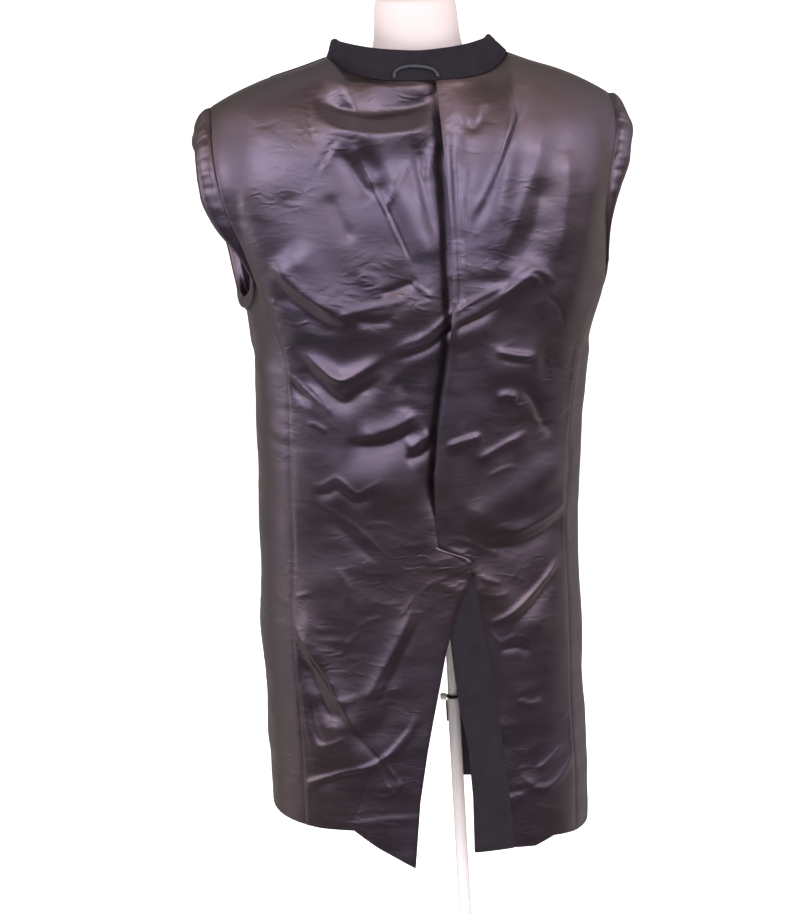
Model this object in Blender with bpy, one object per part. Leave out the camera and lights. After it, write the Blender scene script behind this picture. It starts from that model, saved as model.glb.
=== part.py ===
# An overcoat turned inside out, worn by a limbless dress form on a pole.
# Metres, +Z up. The coat's front faces -Y. Its left half, as named here, lies at +X.
# The lining is the outer face of the coat and the sleeves hang inside the body.

import math

import bmesh
import bpy
import numpy as np

# Cloth
WALL = 0.0025            # lining and wool together
SEAM_GAP = 0.0003        # between two pieces at a seam
TAPE_WALL = 0.0011       # hanger loop

# Body of the coat, as level sections from the hem to just under the arms.
SECTION_POWER = 2.4      # 2 would be an ellipse
SECTIONS = [
    # z, centre x, half width, depth to the back, depth to the front
    (0.500, 0.000, 0.1890, 0.130, 0.140),
    (0.600, -0.001, 0.1897, 0.129, 0.139),
    (0.700, 0.0024, 0.1895, 0.128, 0.138),
    (0.800, 0.0049, 0.1904, 0.127, 0.138),
    (0.900, 0.0042, 0.1873, 0.127, 0.139),
    (1.000, 0.0024, 0.1888, 0.129, 0.143),
    (1.100, -0.0030, 0.1950, 0.132, 0.148),
    (1.150, -0.0060, 0.2020, 0.134, 0.150),
]
BASE_Z = 1.100           # above this level the cloth runs to the neck, shoulder and armhole
LEVELS = [0.600, 0.660, 0.720, 0.775, 0.830, 0.868, 0.876, 0.930, 0.985, 1.040, BASE_Z]
RISE = [0.12, 0.25, 0.39, 0.53, 0.66, 0.78, 0.89, 1.0]
SIDE_SEAM = 0.855        # where the back ends, as a share of the half width

# Hem height along each half, from the centre back to the front edge.
HEM = {
    1: [
        # share of the way round, z
        (0.00, 0.520),
        (0.09, 0.546),
        (0.15, 0.567),
        (0.24, 0.566),
        (0.40, 0.570),
        (1.00, 0.560),
    ],
    -1: [
        (0.00, 0.534),
        (0.07, 0.531),
        (0.14, 0.538),
        (0.24, 0.533),
        (0.40, 0.533),
        (1.00, 0.536),
    ],
}

# Centre back. The right half laps over the left one as an ease pleat, down to the waist.
CENTRE_BACK = [
    # z, x of the pleat's fold, width of the left half under it
    (0.876, 0.001, -SEAM_GAP),
    (0.930, 0.006, -SEAM_GAP),
    (0.985, 0.006, -SEAM_GAP),
    (1.040, 0.001, 0.012),
    (1.100, -0.009, 0.016),
    (1.160, -0.0155, 0.016),
    (1.423, -0.015, 0.016),
]
PLEAT_DEPTH = 0.0062     # how far the left half lies behind the fold
PLEAT_RISE = 0.0020      # how far the fold stands out
PLEAT_REACH = 0.030      # width of the slope down to the pleat

# Back vent, from its top down to the hem.
VENT = [
    # z, left flap's edge x, right flap's edge x, seam of the right flap's facing x
    (0.500, 0.046, -0.032, -0.086),
    (0.600, 0.031, -0.031, -0.0745),
    (0.660, 0.021, -0.027, -0.068),
    (0.720, 0.009, -0.016, -0.0605),
    (0.775, -0.002, -0.010, -0.053),
    (0.830, -0.017, -0.006, -0.0435),
    (0.868, -0.034, 0.000, -0.036),
]
VENT_TOP = 0.868
FACING_TOP = 0.8655      # top edge of the vent's facing
VENT_RISE = 0.0033       # the left flap lies this far over the right one

# Front edges, unbuttoned.
FRONT_EDGE = [
    # z, left edge x, right edge x
    (0.500, 0.016, -0.066),
    (0.700, 0.018, -0.060),
    (0.900, 0.028, -0.046),
    (1.125, 0.036, -0.036),
]
FACING_WIDTH = 0.092     # front facing, at the hem and at the chest

# Neck, shoulder and armhole lines
NECK_X = -0.005
NECK_HALF = 0.103
NECK_BACK_Y = 0.075
NECK_BACK_Z = 1.4225
NECK_RISE = 0.0245       # from the centre back to the shoulder
SHOULDER_X = {1: 0.232, -1: 0.2285}
SHOULDER = [
    # share of the way out, z
    (0.00, 1.4470),
    (0.22, 1.4370),
    (0.50, 1.4260),
    (0.76, 1.4120),
    (1.00, 1.3955),
]
# The two armholes differ: the left one gapes towards the back, the right one is covered by the cloth.
ARMHOLE_BACK = [
    # left x, right x, y, z, then the way the cloth runs there: out, back, up
    (0.2320, 0.2285, 0.000, 1.3955, 0.25, -0.95, -0.09),
    (0.2340, 0.2300, 0.026, 1.375, 0.28, -0.86, 0.18),
    (0.2350, 0.2265, 0.044, 1.350, 0.32, -0.74, 0.42),
    (0.2320, 0.2185, 0.056, 1.320, 0.32, -0.56, 0.65),
    (0.2250, 0.2120, 0.062, 1.290, 0.30, -0.42, 0.79),
    (0.2120, 0.2100, 0.062, 1.257, 0.24, -0.34, 0.86),
    (0.1990, 0.2100, 0.059, 1.230, 0.18, -0.30, 0.90),
    (0.1910, 0.2110, 0.052, 1.205, 0.10, -0.26, 0.94),
]
ARMHOLE_FRONT = [
    (0.1910, 0.2110, 0.052, 1.205, 0.10, -0.26, 0.94),
    (0.1915, 0.2110, 0.036, 1.184, 0.06, -0.15, 0.98),
    (0.1955, 0.2105, 0.018, 1.170, 0.08, -0.05, 1.00),
    (0.1985, 0.2090, 0.000, 1.165, 0.08, 0.00, 1.00),
    (0.1990, 0.2060, -0.020, 1.168, 0.08, 0.06, 1.00),
    (0.1970, 0.2010, -0.040, 1.182, 0.12, 0.18, 0.97),
    (0.1960, 0.1980, -0.058, 1.212, 0.20, 0.30, 0.93),
    (0.1990, 0.1990, -0.067, 1.250, 0.28, 0.40, 0.86),
    (0.2060, 0.2050, -0.067, 1.290, 0.33, 0.50, 0.78),
    (0.2170, 0.2140, -0.056, 1.330, 0.33, 0.66, 0.56),
    (0.2270, 0.2230, -0.032, 1.368, 0.29, 0.84, 0.24),
    (0.2320, 0.2285, 0.000, 1.3955, 0.25, 0.95, -0.09),
]
ROLL_LINE = [
    # x, y, z: from the neck point down to the lapel's break
    (0.103, 0.000, 1.4470),
    (0.094, -0.038, 1.4180),
    (0.083, -0.072, 1.3750),
    (0.069, -0.108, 1.3100),
    (0.055, -0.133, 1.2400),
    (0.043, -0.1445, 1.1750),
    (0.036, -0.1480, 1.1250),
]
CHEST_SLOPE = 0.15       # how fast the chest turns back towards the side, beside the roll line
NECK_COLUMNS = 5
SHOULDER_COLUMNS = 4
SHOULDER_SPLIT = 2       # shoulder columns that belong to the front facing
BASE_NECK = 0.31         # share of the back's width under the neck, at the base level
BASE_SHOULDER = 0.74     # and under the neck and shoulder

# Main folds: soft ridges and troughs laid on the back and sides.
FOLDS = [
    # x and z of one end, x and z of the other, half width, height
    (0.090, 1.335, -0.010, 1.330, 0.020, -0.0025),
    (0.080, 1.372, -0.005, 1.368, 0.014, 0.0025),
    (0.070, 1.345, 0.015, 1.215, 0.013, -0.0030),
    (0.155, 1.240, 0.100, 1.165, 0.022, 0.0040),
    (0.120, 1.170, -0.010, 1.180, 0.018, 0.0035),
    (0.040, 1.120, -0.125, 1.215, 0.016, 0.0040),
    (0.150, 1.130, 0.040, 1.110, 0.022, -0.0035),
    (-0.040, 1.380, -0.020, 1.230, 0.014, -0.0030),
    (-0.060, 1.100, -0.120, 1.110, 0.024, 0.0030),
    (0.120, 0.975, 0.030, 0.985, 0.024, 0.0030),
    (-0.030, 0.930, -0.155, 0.985, 0.022, 0.0035),
    (0.150, 0.820, 0.100, 0.640, 0.016, 0.0045),
    (0.090, 0.700, 0.040, 0.820, 0.016, 0.0030),
    (-0.040, 0.860, -0.120, 0.790, 0.018, 0.0030),
]

# Sleeves: the head rolls over the armhole, then the tube hangs inside the coat.
SLEEVE_ROLL = [
    # outwards, towards the middle of the hole
    (0.0085, 0.0010),
    (0.0170, 0.0040),
    (0.0225, 0.0100),
    (0.0230, 0.0180),
    (0.0180, 0.0250),
    (0.0090, 0.0290),
]
SLEEVE_RINGS = [
    # x and z over the arm, x and z under the arm, half depth
    (0.2110, 1.325, 0.1910, 1.168, 0.044),
    (0.2000, 1.285, 0.1870, 1.152, 0.048),
    (0.1880, 1.235, 0.1845, 1.130, 0.053),
    (0.1770, 1.175, 0.1825, 1.098, 0.059),
    (0.1690, 1.105, 0.1795, 1.050, 0.063),
    (0.1645, 1.015, 0.1765, 0.990, 0.064),
    (0.1635, 0.910, 0.1755, 0.900, 0.063),
    (0.1635, 0.805, 0.1760, 0.803, 0.061),
    (0.1635, 0.715, 0.1765, 0.715, 0.058),
]
SLEEVE_HEAD = {
    # how far the roll reaches out at each place round the armhole, as a share of the roll above:
    # down the back of the armhole, then up its front
    1: [0.80, 0.76, 0.72, 0.84, 0.92, 0.85, 0.60, 0.32, 0.28, 0.28, 0.30, 0.32, 0.40, 0.62, 0.85, 1.00,
        1.00, 0.95],
    -1: [0.85, 0.93, 0.88, 0.90, 0.76, 0.36, 0.20, 0.20, 0.24, 0.28, 0.30, 0.32, 0.40, 0.62, 0.85, 0.95,
         0.95, 0.90],
}
HEAD_DROP = 0.0120       # how far the head slopes down beyond the end of the shoulder

# Collar, as the lines that its fold runs along
COLLAR_X = 0.002
COLLAR_HALF = 0.089
COLLAR_BACK_Y = 0.061
COLLAR_BACK_Z = 1.456
COLLAR_SIDE_Z = 1.4665
COLLAR_FOLD = 0.0070     # from the stand to the fall
COLLAR_FALL = 0.019      # length of the fall inside
COLLAR_STEPS = 2         # columns for each column of the panels under it

LOOP_LEFT_X = 0.031
LOOP_RIGHT_X = -0.018
LOOP_HEIGHT = 0.0130
LOOP_WIDTH = 0.0040

# Dress form, pole and base
STAND_TOP_X = -0.0065    # x of the form's middle at the neck
STAND_TOP_Z = 1.46
STAND_LEAN = 0.0322      # the pole leans this much for each metre of height
FORM = [
    # z, x of its middle beside the pole's line, half width, depth to the back, depth to the front
    (0.820, 0.000, 0.117, 0.086, 0.086),
    (0.826, 0.000, 0.122, 0.090, 0.090),
    (0.870, 0.000, 0.126, 0.094, 0.094),
    (0.930, 0.001, 0.126, 0.093, 0.094),
    (1.010, 0.003, 0.124, 0.086, 0.088),
    (1.080, 0.004, 0.128, 0.088, 0.092),
    (1.160, 0.005, 0.142, 0.096, 0.102),
    (1.240, 0.005, 0.152, 0.100, 0.106),
    (1.310, 0.005, 0.162, 0.097, 0.098),
    (1.360, 0.005, 0.172, 0.082, 0.078),
    (1.385, 0.005, 0.170, 0.068, 0.060),
    (1.402, 0.005, 0.158, 0.056, 0.048),
    (1.414, 0.004, 0.138, 0.050, 0.042),
    (1.425, 0.003, 0.112, 0.047, 0.040),
    (1.433, 0.002, 0.085, 0.047, 0.041),
    (1.440, 0.001, 0.066, 0.047, 0.043),
    (1.448, 0.000, 0.0540, 0.0475, 0.0450),
    (1.460, 0.000, 0.0485, 0.0475, 0.0460),
    (1.500, 0.000, 0.0470, 0.0470, 0.0470),
    (1.508, 0.000, 0.0450, 0.0450, 0.0450),
    (1.510, 0.000, 0.0420, 0.0420, 0.0420),
]
FORM_SIDES = 28
FORM_POWER = 2.3
UPPER_TUBE = 0.0060      # radius
LOWER_TUBE = 0.0073      # radius
TUBE_JOINT_Z = 0.683
RING_RADIUS = 0.0084
RING_HEIGHT = 0.0030
KNOB_RADIUS = 0.0042
KNOB_LENGTH = 0.0065
LEVER_LENGTH = 0.026
BASE_RADIUS = 0.180
BASE_THICK = 0.010
SOCKET_RADIUS = 0.019
SOCKET_HEIGHT = 0.030

# Colours
LINING = ("lining_satin", (0.082, 0.062, 0.085, 1.0), 0.38, 0.0)
WOOL = ("wool", (0.030, 0.025, 0.035, 1.0), 0.90, 0.0)
TAPE = ("loop_tape", (0.045, 0.050, 0.055, 1.0), 0.70, 0.0)
FORM_SKIN = ("form_skin", (0.83, 0.76, 0.72, 1.0), 0.60, 0.0)
CHROME = ("chrome", (0.80, 0.79, 0.78, 1.0), 0.18, 1.0)
BLACK_PLASTIC = ("black_plastic", (0.02, 0.02, 0.022, 1.0), 0.45, 0.0)
BASE_PAINT = ("base_paint", (0.75, 0.74, 0.73, 1.0), 0.40, 0.0)


def unit(vectors):
    length = np.linalg.norm(vectors, axis=-1, keepdims=True)
    return vectors / np.maximum(length, 1e-12)


def smooth_step(value):
    t = np.clip(value, 0.0, 1.0)
    return t * t * (3.0 - 2.0 * t)


def through(rows, place):
    """Smooth curve through the rows of a table, whose first column is the place."""
    data = np.array(rows, float)
    keys = data[:, 0]
    values = data[:, 1:]
    slopes = np.gradient(values, keys, axis=0)
    place = np.clip(place, keys[0], keys[-1])
    i = int(np.clip(np.searchsorted(keys, place) - 1, 0, len(keys) - 2))
    span = keys[i + 1] - keys[i]
    t = (place - keys[i]) / span
    return (
        (2 * t**3 - 3 * t**2 + 1) * values[i]
        + (t**3 - 2 * t**2 + t) * span * slopes[i]
        + (3 * t**2 - 2 * t**3) * values[i + 1]
        + (t**3 - t**2) * span * slopes[i + 1]
    )


def along(rows, share):
    """Smooth curve through rows that lie evenly along it, for a share from 0 to 1."""
    places = np.linspace(0.0, 1.0, len(rows))
    return through([(place, *row) for place, row in zip(places, rows)], share)


def straight(rows, place, column):
    data = np.array(rows, float)
    return float(np.interp(place, data[:, 0], data[:, column]))


def section(side, z):
    """One half of the coat's level section: points from past the centre back to past the front."""
    centre, half, back, front = through(SECTIONS, z)
    angle = np.linspace(-0.55, math.pi + 0.35, 240)
    power = 2.0 / SECTION_POWER
    across = np.sign(np.sin(angle)) * np.abs(np.sin(angle)) ** power
    depth = np.sign(np.cos(angle)) * np.abs(np.cos(angle)) ** power
    x = centre + side * half * across
    y = np.where(depth > 0, back * depth, front * depth)
    arc = np.concatenate([[0.0], np.cumsum(np.hypot(np.diff(x), np.diff(y)))])
    return x, y, arc, int(np.argmax(side * x))


def back_arc(ring, side, x):
    xs, _, arc, turn = ring
    return float(np.interp(side * x, side * xs[:turn], arc[:turn]))


def front_arc(ring, side, x):
    xs, _, arc, turn = ring
    return float(np.interp(-side * x, -side * xs[turn:], arc[turn:]))


def ring_points(ring, arcs, z):
    x, y, arc, _ = ring
    return np.stack([np.interp(arcs, arc, x), np.interp(arcs, arc, y), np.asarray(z) + 0 * arcs], 1)


def back_edge_x(side, z):
    """Where this half of the back ends at the middle: pleat, centre seam, then vent."""
    if z <= VENT_TOP:
        return straight(VENT, z, 1) if side > 0 else straight(VENT, z, 3) - SEAM_GAP
    fold = straight(CENTRE_BACK, z, 1)
    return fold - straight(CENTRE_BACK, z, 2) if side > 0 else fold


def column_shares():
    """Shares of the way across the back, the front and the facing, at the base level."""
    armhole = len(ARMHOLE_BACK) - 1
    back = np.concatenate([
        np.linspace(0.0, BASE_NECK, NECK_COLUMNS + 1)[:-1],
        np.linspace(BASE_NECK, BASE_SHOULDER, SHOULDER_COLUMNS + 1)[:-1],
        np.linspace(BASE_SHOULDER, 1.0, armhole + 1),
    ])
    front_arm = len(ARMHOLE_FRONT) - 1
    split = SHOULDER_COLUMNS - SHOULDER_SPLIT
    front = np.concatenate([
        np.linspace(0.0, 0.78, front_arm + 1)[:-1],
        np.linspace(0.78, 1.0, split + 1),
    ])
    facing = np.concatenate([
        np.linspace(0.0, 0.36, SHOULDER_SPLIT + 1)[:-1],
        np.linspace(0.36, 1.0, len(ROLL_LINE)),
    ])
    return back, front, facing


def level_row(side, z, hem=False):
    """The points of one level row, all the way from the centre back to the front edge."""
    back, front, facing = column_shares()
    ring = section(side, z)
    start = back_arc(ring, side, back_edge_x(side, z))
    centre, half = through(SECTIONS, z)[:2]
    seam = back_arc(ring, side, centre + side * SIDE_SEAM * half)
    end = front_arc(ring, side, straight(FRONT_EDGE, z, 1 if side > 0 else 2))
    split = end - FACING_WIDTH
    arcs = np.concatenate([
        start + (seam - start) * back,
        seam + (split - seam) * front[1:],
        split + (end - split) * facing[1:],
    ])
    points = ring_points(ring, arcs, z)
    if hem:
        shares = (arcs - start) / (end - start)
        heights = np.array(HEM[side], float)
        points[:, 2] = np.interp(shares, heights[:, 0], heights[:, 1])
    return points


def neckline(turn):
    """Point of the back neck line; turn runs from -90 degrees, right, to 90 degrees, left."""
    across = math.sin(turn)
    return np.array([
        NECK_X + NECK_HALF * across,
        NECK_BACK_Y * math.cos(turn),
        NECK_BACK_Z + NECK_RISE * across**4,
    ])


def shoulder_line(side, share):
    start = NECK_X + side * NECK_HALF
    x = start + (side * SHOULDER_X[side] - start) * share
    return np.array([x, 0.0, through(SHOULDER, share)[0]])


def shoulder_way(side, share):
    step = shoulder_line(side, min(share + 0.02, 1.0)) - shoulder_line(side, max(share - 0.02, 0.0))
    return unit(step)


def top_line(side):
    """Where each column of cloth ends above: its point and the way the cloth runs there."""
    points = []
    ways = []
    edge = back_edge_x(side, 1.423)
    first = math.asin((edge - NECK_X) / NECK_HALF)
    for i in range(NECK_COLUMNS):
        turn = first + (side * math.pi / 2 - first) * i / NECK_COLUMNS
        lean = math.sin(turn) ** 2
        points.append(neckline(turn))
        ways.append((-0.05 * side * lean, -0.45 - 0.55 * lean, 0.9 - 0.88 * lean))
    for i in range(SHOULDER_COLUMNS + 1):
        share = i / SHOULDER_COLUMNS
        points.append(shoulder_line(side, share))
        ways.append(shoulder_way(side, share) * (0.30 * share**2 - 0.05) + np.array([0, -1.0, 0]))
    for row in ARMHOLE_BACK[1:] + ARMHOLE_FRONT[1:-1]:
        points.append((side * row[0 if side > 0 else 1], row[2], row[3]))
        ways.append((side * row[4], row[5], row[6]))
    for i in range(SHOULDER_COLUMNS, -1, -1):
        share = i / SHOULDER_COLUMNS
        points.append(shoulder_line(side, share))
        ways.append(shoulder_way(side, share) * (0.30 * share**2 - 0.05) + np.array([0, 1.0, 0]))
    roll = np.array(ROLL_LINE)
    fall = np.gradient(roll, axis=0)
    for i in range(1, len(roll)):
        shift = NECK_X * (roll[i, 2] - roll[-1, 2]) / (roll[0, 2] - roll[-1, 2])
        points.append((side * roll[i, 0] + shift, roll[i, 1], roll[i, 2]))
        ways.append((0.0, fall[i, 0] * CHEST_SLOPE - fall[i, 1], -fall[i, 2]))
    return np.array(points, float), unit(np.array(ways, float))


def fold_height(points):
    """How far the folds lift the cloth of the back at these points."""
    height = np.zeros(points.shape[:-1])
    x = points[..., 0]
    z = points[..., 2]
    behind = smooth_step((points[..., 1] - 0.01) / 0.05)
    for x0, z0, x1, z1, width, rise in FOLDS:
        length2 = (x1 - x0) ** 2 + (z1 - z0) ** 2
        t = ((x - x0) * (x1 - x0) + (z - z0) * (z1 - z0)) / length2
        near = np.hypot(x - x0 - t * (x1 - x0), z - z0 - t * (z1 - z0))
        ends = smooth_step((t + 0.15) / 0.3) * smooth_step((1.15 - t) / 0.3)
        height += rise * ends * np.exp(-((near / width) ** 2))
    return height * behind


def middle_height(side, points):
    """How far the pleat and the vent lift or sink the cloth near the centre back."""
    x = points[..., 0]
    z = points[..., 2]
    behind = points[..., 1] > 0.03
    fold = np.interp(z, [row[0] for row in CENTRE_BACK], [row[1] for row in CENTRE_BACK])
    pleat = smooth_step((z - 0.925) / 0.05)
    closing = 1.0 - 0.25 * smooth_step((z - 1.33) / 0.09)
    if side > 0:
        near = smooth_step(1.0 - (x - fold) / PLEAT_REACH)
        height = -PLEAT_DEPTH * pleat * closing * near
        flap = smooth_step((z - 0.63) / 0.12) * smooth_step((0.93 - z) / 0.045)
        height = height + VENT_RISE * flap * smooth_step((fold + 0.018 - x) / 0.018)
    else:
        near = smooth_step(1.0 - (fold - x) / PLEAT_REACH)
        height = PLEAT_RISE * pleat * (1.0 - smooth_step((z - 1.36) / 0.05)) * near
    return np.where(behind, height, 0.0)


def half_body(side):
    """The whole cloth surface of one half, with its outward normals: rows by columns."""
    rows = [level_row(side, LEVELS[0] - 0.05, hem=True)]
    rows += [level_row(side, z) for z in LEVELS]
    base = rows[-1]
    below = level_row(side, BASE_Z - 0.012)
    climb = (base - below) / 0.012
    tops, ways = top_line(side)
    reach = np.linalg.norm(tops - base, axis=1, keepdims=True)
    for t in RISE:
        rows.append(
            (2 * t**3 - 3 * t**2 + 1) * base
            + (t**3 - 2 * t**2 + t) * reach * climb
            + (3 * t**2 - 2 * t**3) * tops
            + (t**3 - t**2) * reach * ways
        )
    grid = np.array(rows)
    rise = np.gradient(grid, axis=0)
    rise[-1] = ways
    around = np.gradient(grid, axis=1)
    back_tip = NECK_COLUMNS + SHOULDER_COLUMNS
    front_tip = back_tip + len(ARMHOLE_BACK) + len(ARMHOLE_FRONT) - 2
    around[-1, back_tip] = shoulder_way(side, 1.0)
    around[-1, front_tip] = -shoulder_way(side, 1.0)
    normals = unit(np.cross(rise, around)) * side
    rows_above = slice(len(LEVELS), None)
    normals[rows_above, -2:] = unit(normals[rows_above, -2:].mean(axis=0))
    shape = grid + normals * (fold_height(grid) + middle_height(side, grid))[..., None]
    return shape, normals


def sheet_faces(rows, columns):
    """Quads of a closed sheet whose outer and inner points follow each other row by row."""
    count = rows * columns
    faces = []
    for r in range(rows - 1):
        for c in range(columns - 1):
            a = r * columns + c
            faces.append((a, a + 1, a + columns + 1, a + columns))
            faces.append((count + a, count + a + columns, count + a + columns + 1, count + a + 1))
    for c in range(columns - 1):
        low = c
        high = (rows - 1) * columns + c
        faces.append((low, count + low, count + low + 1, low + 1))
        faces.append((high, high + 1, count + high + 1, count + high))
    for r in range(rows - 1):
        left = r * columns
        right = r * columns + columns - 1
        faces.append((left, left + columns, count + left + columns, count + left))
        faces.append((right, count + right, count + right + columns, right + columns))
    return faces


def tube_faces(rows, columns):
    """Quads of a closed wall that runs all the way round, open at both ends."""
    count = rows * columns
    faces = []
    for c in range(columns):
        d = (c + 1) % columns
        for r in range(rows - 1):
            low = r * columns
            high = low + columns
            faces.append((low + c, low + d, high + d, high + c))
            faces.append((count + low + c, count + high + c, count + high + d, count + low + d))
        top = (rows - 1) * columns
        faces.append((c, count + c, count + d, d))
        faces.append((top + c, top + d, count + top + d, count + top + c))
    return faces


def add_material(finish):
    name, colour, roughness, metallic = finish
    material = bpy.data.materials.get(name)
    if material is None:
        material = bpy.data.materials.new(name)
        material.use_nodes = True
        shader = material.node_tree.nodes["Principled BSDF"]
        shader.inputs["Base Color"].default_value = colour
        shader.inputs["Roughness"].default_value = roughness
        shader.inputs["Metallic"].default_value = metallic
        material.diffuse_color = colour
    return material


def add_solid(name, points, faces, finish, smooth=True):
    """A closed mesh object, its faces turned to look outwards."""
    mesh = bpy.data.meshes.new(name)
    mesh.from_pydata([tuple(point) for point in points], [], faces)
    work = bmesh.new()
    work.from_mesh(mesh)
    bmesh.ops.recalc_face_normals(work, faces=work.faces)
    if work.calc_volume(signed=True) < 0:
        bmesh.ops.reverse_faces(work, faces=work.faces)
    bmesh.ops.triangulate(work, faces=work.faces)
    work.to_mesh(mesh)
    work.free()
    if smooth:
        mesh.polygons.foreach_set("use_smooth", [True] * len(mesh.polygons))
    mesh.materials.append(add_material(finish))
    item = bpy.data.objects.new(name, mesh)
    bpy.context.scene.collection.objects.link(item)
    return item


def add_sheet(name, outer, inner, finish):
    rows, columns = outer.shape[:2]
    points = np.concatenate([outer.reshape(-1, 3), inner.reshape(-1, 3)])
    return add_solid(name, points, sheet_faces(rows, columns), finish)


def pull_in(grid, rows=True, columns=True):
    """Draw the edge points a little inwards, so that the next piece stays clear."""
    out = grid.copy()
    half = SEAM_GAP / 2
    if columns:
        out[:, 0] += unit(grid[:, 1] - grid[:, 0]) * half
        out[:, -1] += unit(grid[:, -2] - grid[:, -1]) * half
    if rows:
        out[-1] += unit(grid[-2] - grid[-1]) * half
    return out


def add_panel(name, shape, normals, first, last, finish):
    """One cut piece: a stretch of columns of the half body, given its thickness."""
    outer = shape[:, first:last + 1]
    inner = outer - normals[:, first:last + 1] * WALL
    return add_sheet(name, pull_in(outer), pull_in(inner), finish)


def add_vent_facing():
    """Wool facing of the right vent flap, between its free edge and the lining."""
    levels = [LEVELS[0] - 0.05] + [z for z in LEVELS if z < FACING_TOP] + [FACING_TOP]
    rows = []
    for z in levels:
        ring = section(-1, z)
        free = back_arc(ring, -1, straight(VENT, z, 2))
        seam = back_arc(ring, -1, straight(VENT, z, 3) + SEAM_GAP / 2)
        rows.append(ring_points(ring, np.linspace(free, seam, 5), z))
    grid = np.array(rows)
    grid[0, :, 2] = HEM[-1][0][1]
    around = np.gradient(grid, axis=1)
    rise = np.gradient(grid, axis=0)
    normals = unit(np.cross(around, rise))
    grid = grid + normals * (fold_height(grid) + middle_height(-1, grid))[..., None]
    return add_sheet("vent_facing", grid, grid - normals * WALL, WOOL)


def add_lapel(name, shape, normals, first, last):
    """The lapel, rolled to the inside: it lies behind the facing, down from the roll line."""
    start = len(LEVELS) + 3
    outer = shape[start:, first:last + 1] - normals[start:, first:last + 1] * (WALL + SEAM_GAP)
    inner = outer - normals[start:, first:last + 1] * WALL
    return add_sheet(name, pull_in(outer, columns=False), pull_in(inner, columns=False), WOOL)


def armhole_loop(side, shape, normals):
    """Outer and inner points of the panels' armhole edge, in order from the shoulder round."""
    back_end = NECK_COLUMNS + SHOULDER_COLUMNS
    count = len(ARMHOLE_BACK) + len(ARMHOLE_FRONT) - 2
    columns = list(range(back_end, back_end + count))
    edge = shape[-1, columns]
    normal = normals[-1, columns]
    below = shape[-2, columns]
    loop_way = unit(np.roll(edge, -1, axis=0) - np.roll(edge, 1, axis=0))
    run = edge - below
    out = unit(run - np.sum(run * loop_way, axis=1, keepdims=True) * loop_way)
    out[0] = shoulder_way(side, 1.0)
    return edge, normal, out


def add_sleeve(name, side, shape, normals):
    edge, normal, out = armhole_loop(side, shape, normals)
    middle = np.array([0.0, -0.004, 1.285])
    spoke = edge - middle
    spoke[:, 0] = 0.0
    spoke = unit(spoke)
    head = np.array(SLEEVE_HEAD[side])
    drop = HEAD_DROP * smooth_step((edge[:, 2] - 1.350) / 0.045)
    rings = [edge + out * SEAM_GAP * 1.4]
    for outwards, inwards in SLEEVE_ROLL:
        ring = edge + np.array([side, 0, 0]) * (outwards * head)[:, None]
        ring[:, 2] -= drop * (outwards / 0.023) ** 2
        rings.append(ring - spoke * (inwards * (0.35 + 0.65 * head))[:, None])
    turn = np.arctan2(edge[:, 1] + 0.003, edge[:, 2] - 1.275)
    over = (1.0 + np.cos(turn)) / 2
    flat = (1.0 + np.sign(np.cos(turn)) * np.abs(np.cos(turn)) ** 0.45) / 2
    for x_over, z_over, x_under, z_under, depth in SLEEVE_RINGS:
        z = z_under + (z_over - z_under) * over
        y = depth * np.sin(turn) - 0.003
        centre, half, back, front = through(SECTIONS, min(z_under, 1.15))
        centre *= smooth_step((1.16 - z_under) / 0.08)
        reach = np.where(y > 0, back, front)
        bend = half * (1.0 - (1.0 - (np.abs(y) / reach) ** SECTION_POWER) ** (1 / SECTION_POWER))
        x = x_under + (x_over - x_under) * flat - bend
        rings.append(np.stack([side * x + centre, y, z], 1))
    grid = np.array(rings)
    around = (np.roll(grid, -1, axis=1) - np.roll(grid, 1, axis=1)) / 2
    along_tube = np.gradient(grid, axis=0)
    facing = unit(np.cross(along_tube, around)) * side
    facing[0] = normal
    facing[1] = unit(facing[1] + normal)
    rows, columns = grid.shape[:2]
    inner = grid - facing * WALL
    points = np.concatenate([grid.reshape(-1, 3), inner.reshape(-1, 3)])
    return add_solid(name, points, tube_faces(rows, columns), LINING)


def collar_fold(turn, past):
    """Point of the collar's folded top edge: turn goes round the neck, past runs on down the front."""
    side = 1 if turn >= 0 else -1
    return np.array([
        COLLAR_X + COLLAR_HALF * math.sin(turn) - side * 0.010 * past,
        COLLAR_BACK_Y * math.cos(turn) - 0.050 * past,
        COLLAR_BACK_Z + (COLLAR_SIDE_Z - COLLAR_BACK_Z) * math.sin(turn) ** 2 - 0.026 * past,
    ])


def collar_lines(halves):
    """Seam points, panel normals and fold points, from the right end of the collar to the left."""
    seams = []
    normals = []
    folds = []
    front_neck = NECK_COLUMNS + 2 * SHOULDER_COLUMNS + len(ARMHOLE_BACK) + len(ARMHOLE_FRONT) - 2
    for side in (-1, 1):
        shape, normal = halves[side]
        columns = list(range(0 if side < 0 else 1, NECK_COLUMNS + 1)) + [front_neck + 1]
        if side < 0:
            columns.reverse()
        for c in columns:
            point = shape[-1, c]
            past = 1.0 if c > NECK_COLUMNS else 0.0
            turn = math.atan2((point[0] - NECK_X) / NECK_HALF, point[1] / NECK_BACK_Y)
            turn = side * math.pi / 2 if past else turn
            seams.append(point)
            normals.append(normal[-1, c])
            folds.append(collar_fold(turn, past))
    return np.array(seams), np.array(normals), np.array(folds)


def collar_places(halves):
    """The collar's columns, each step of the panels under it split evenly."""
    lines = collar_lines(halves)
    count = len(lines[0])
    places = np.linspace(0, count - 1, (count - 1) * COLLAR_STEPS + 1)
    seams, normals = [np.stack([np.interp(places, np.arange(count), line[:, i]) for i in range(3)], 1)
                      for line in lines[:2]]
    folds = np.array([along(lines[2], place / (count - 1)) for place in places])
    return seams, unit(normals), folds


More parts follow.
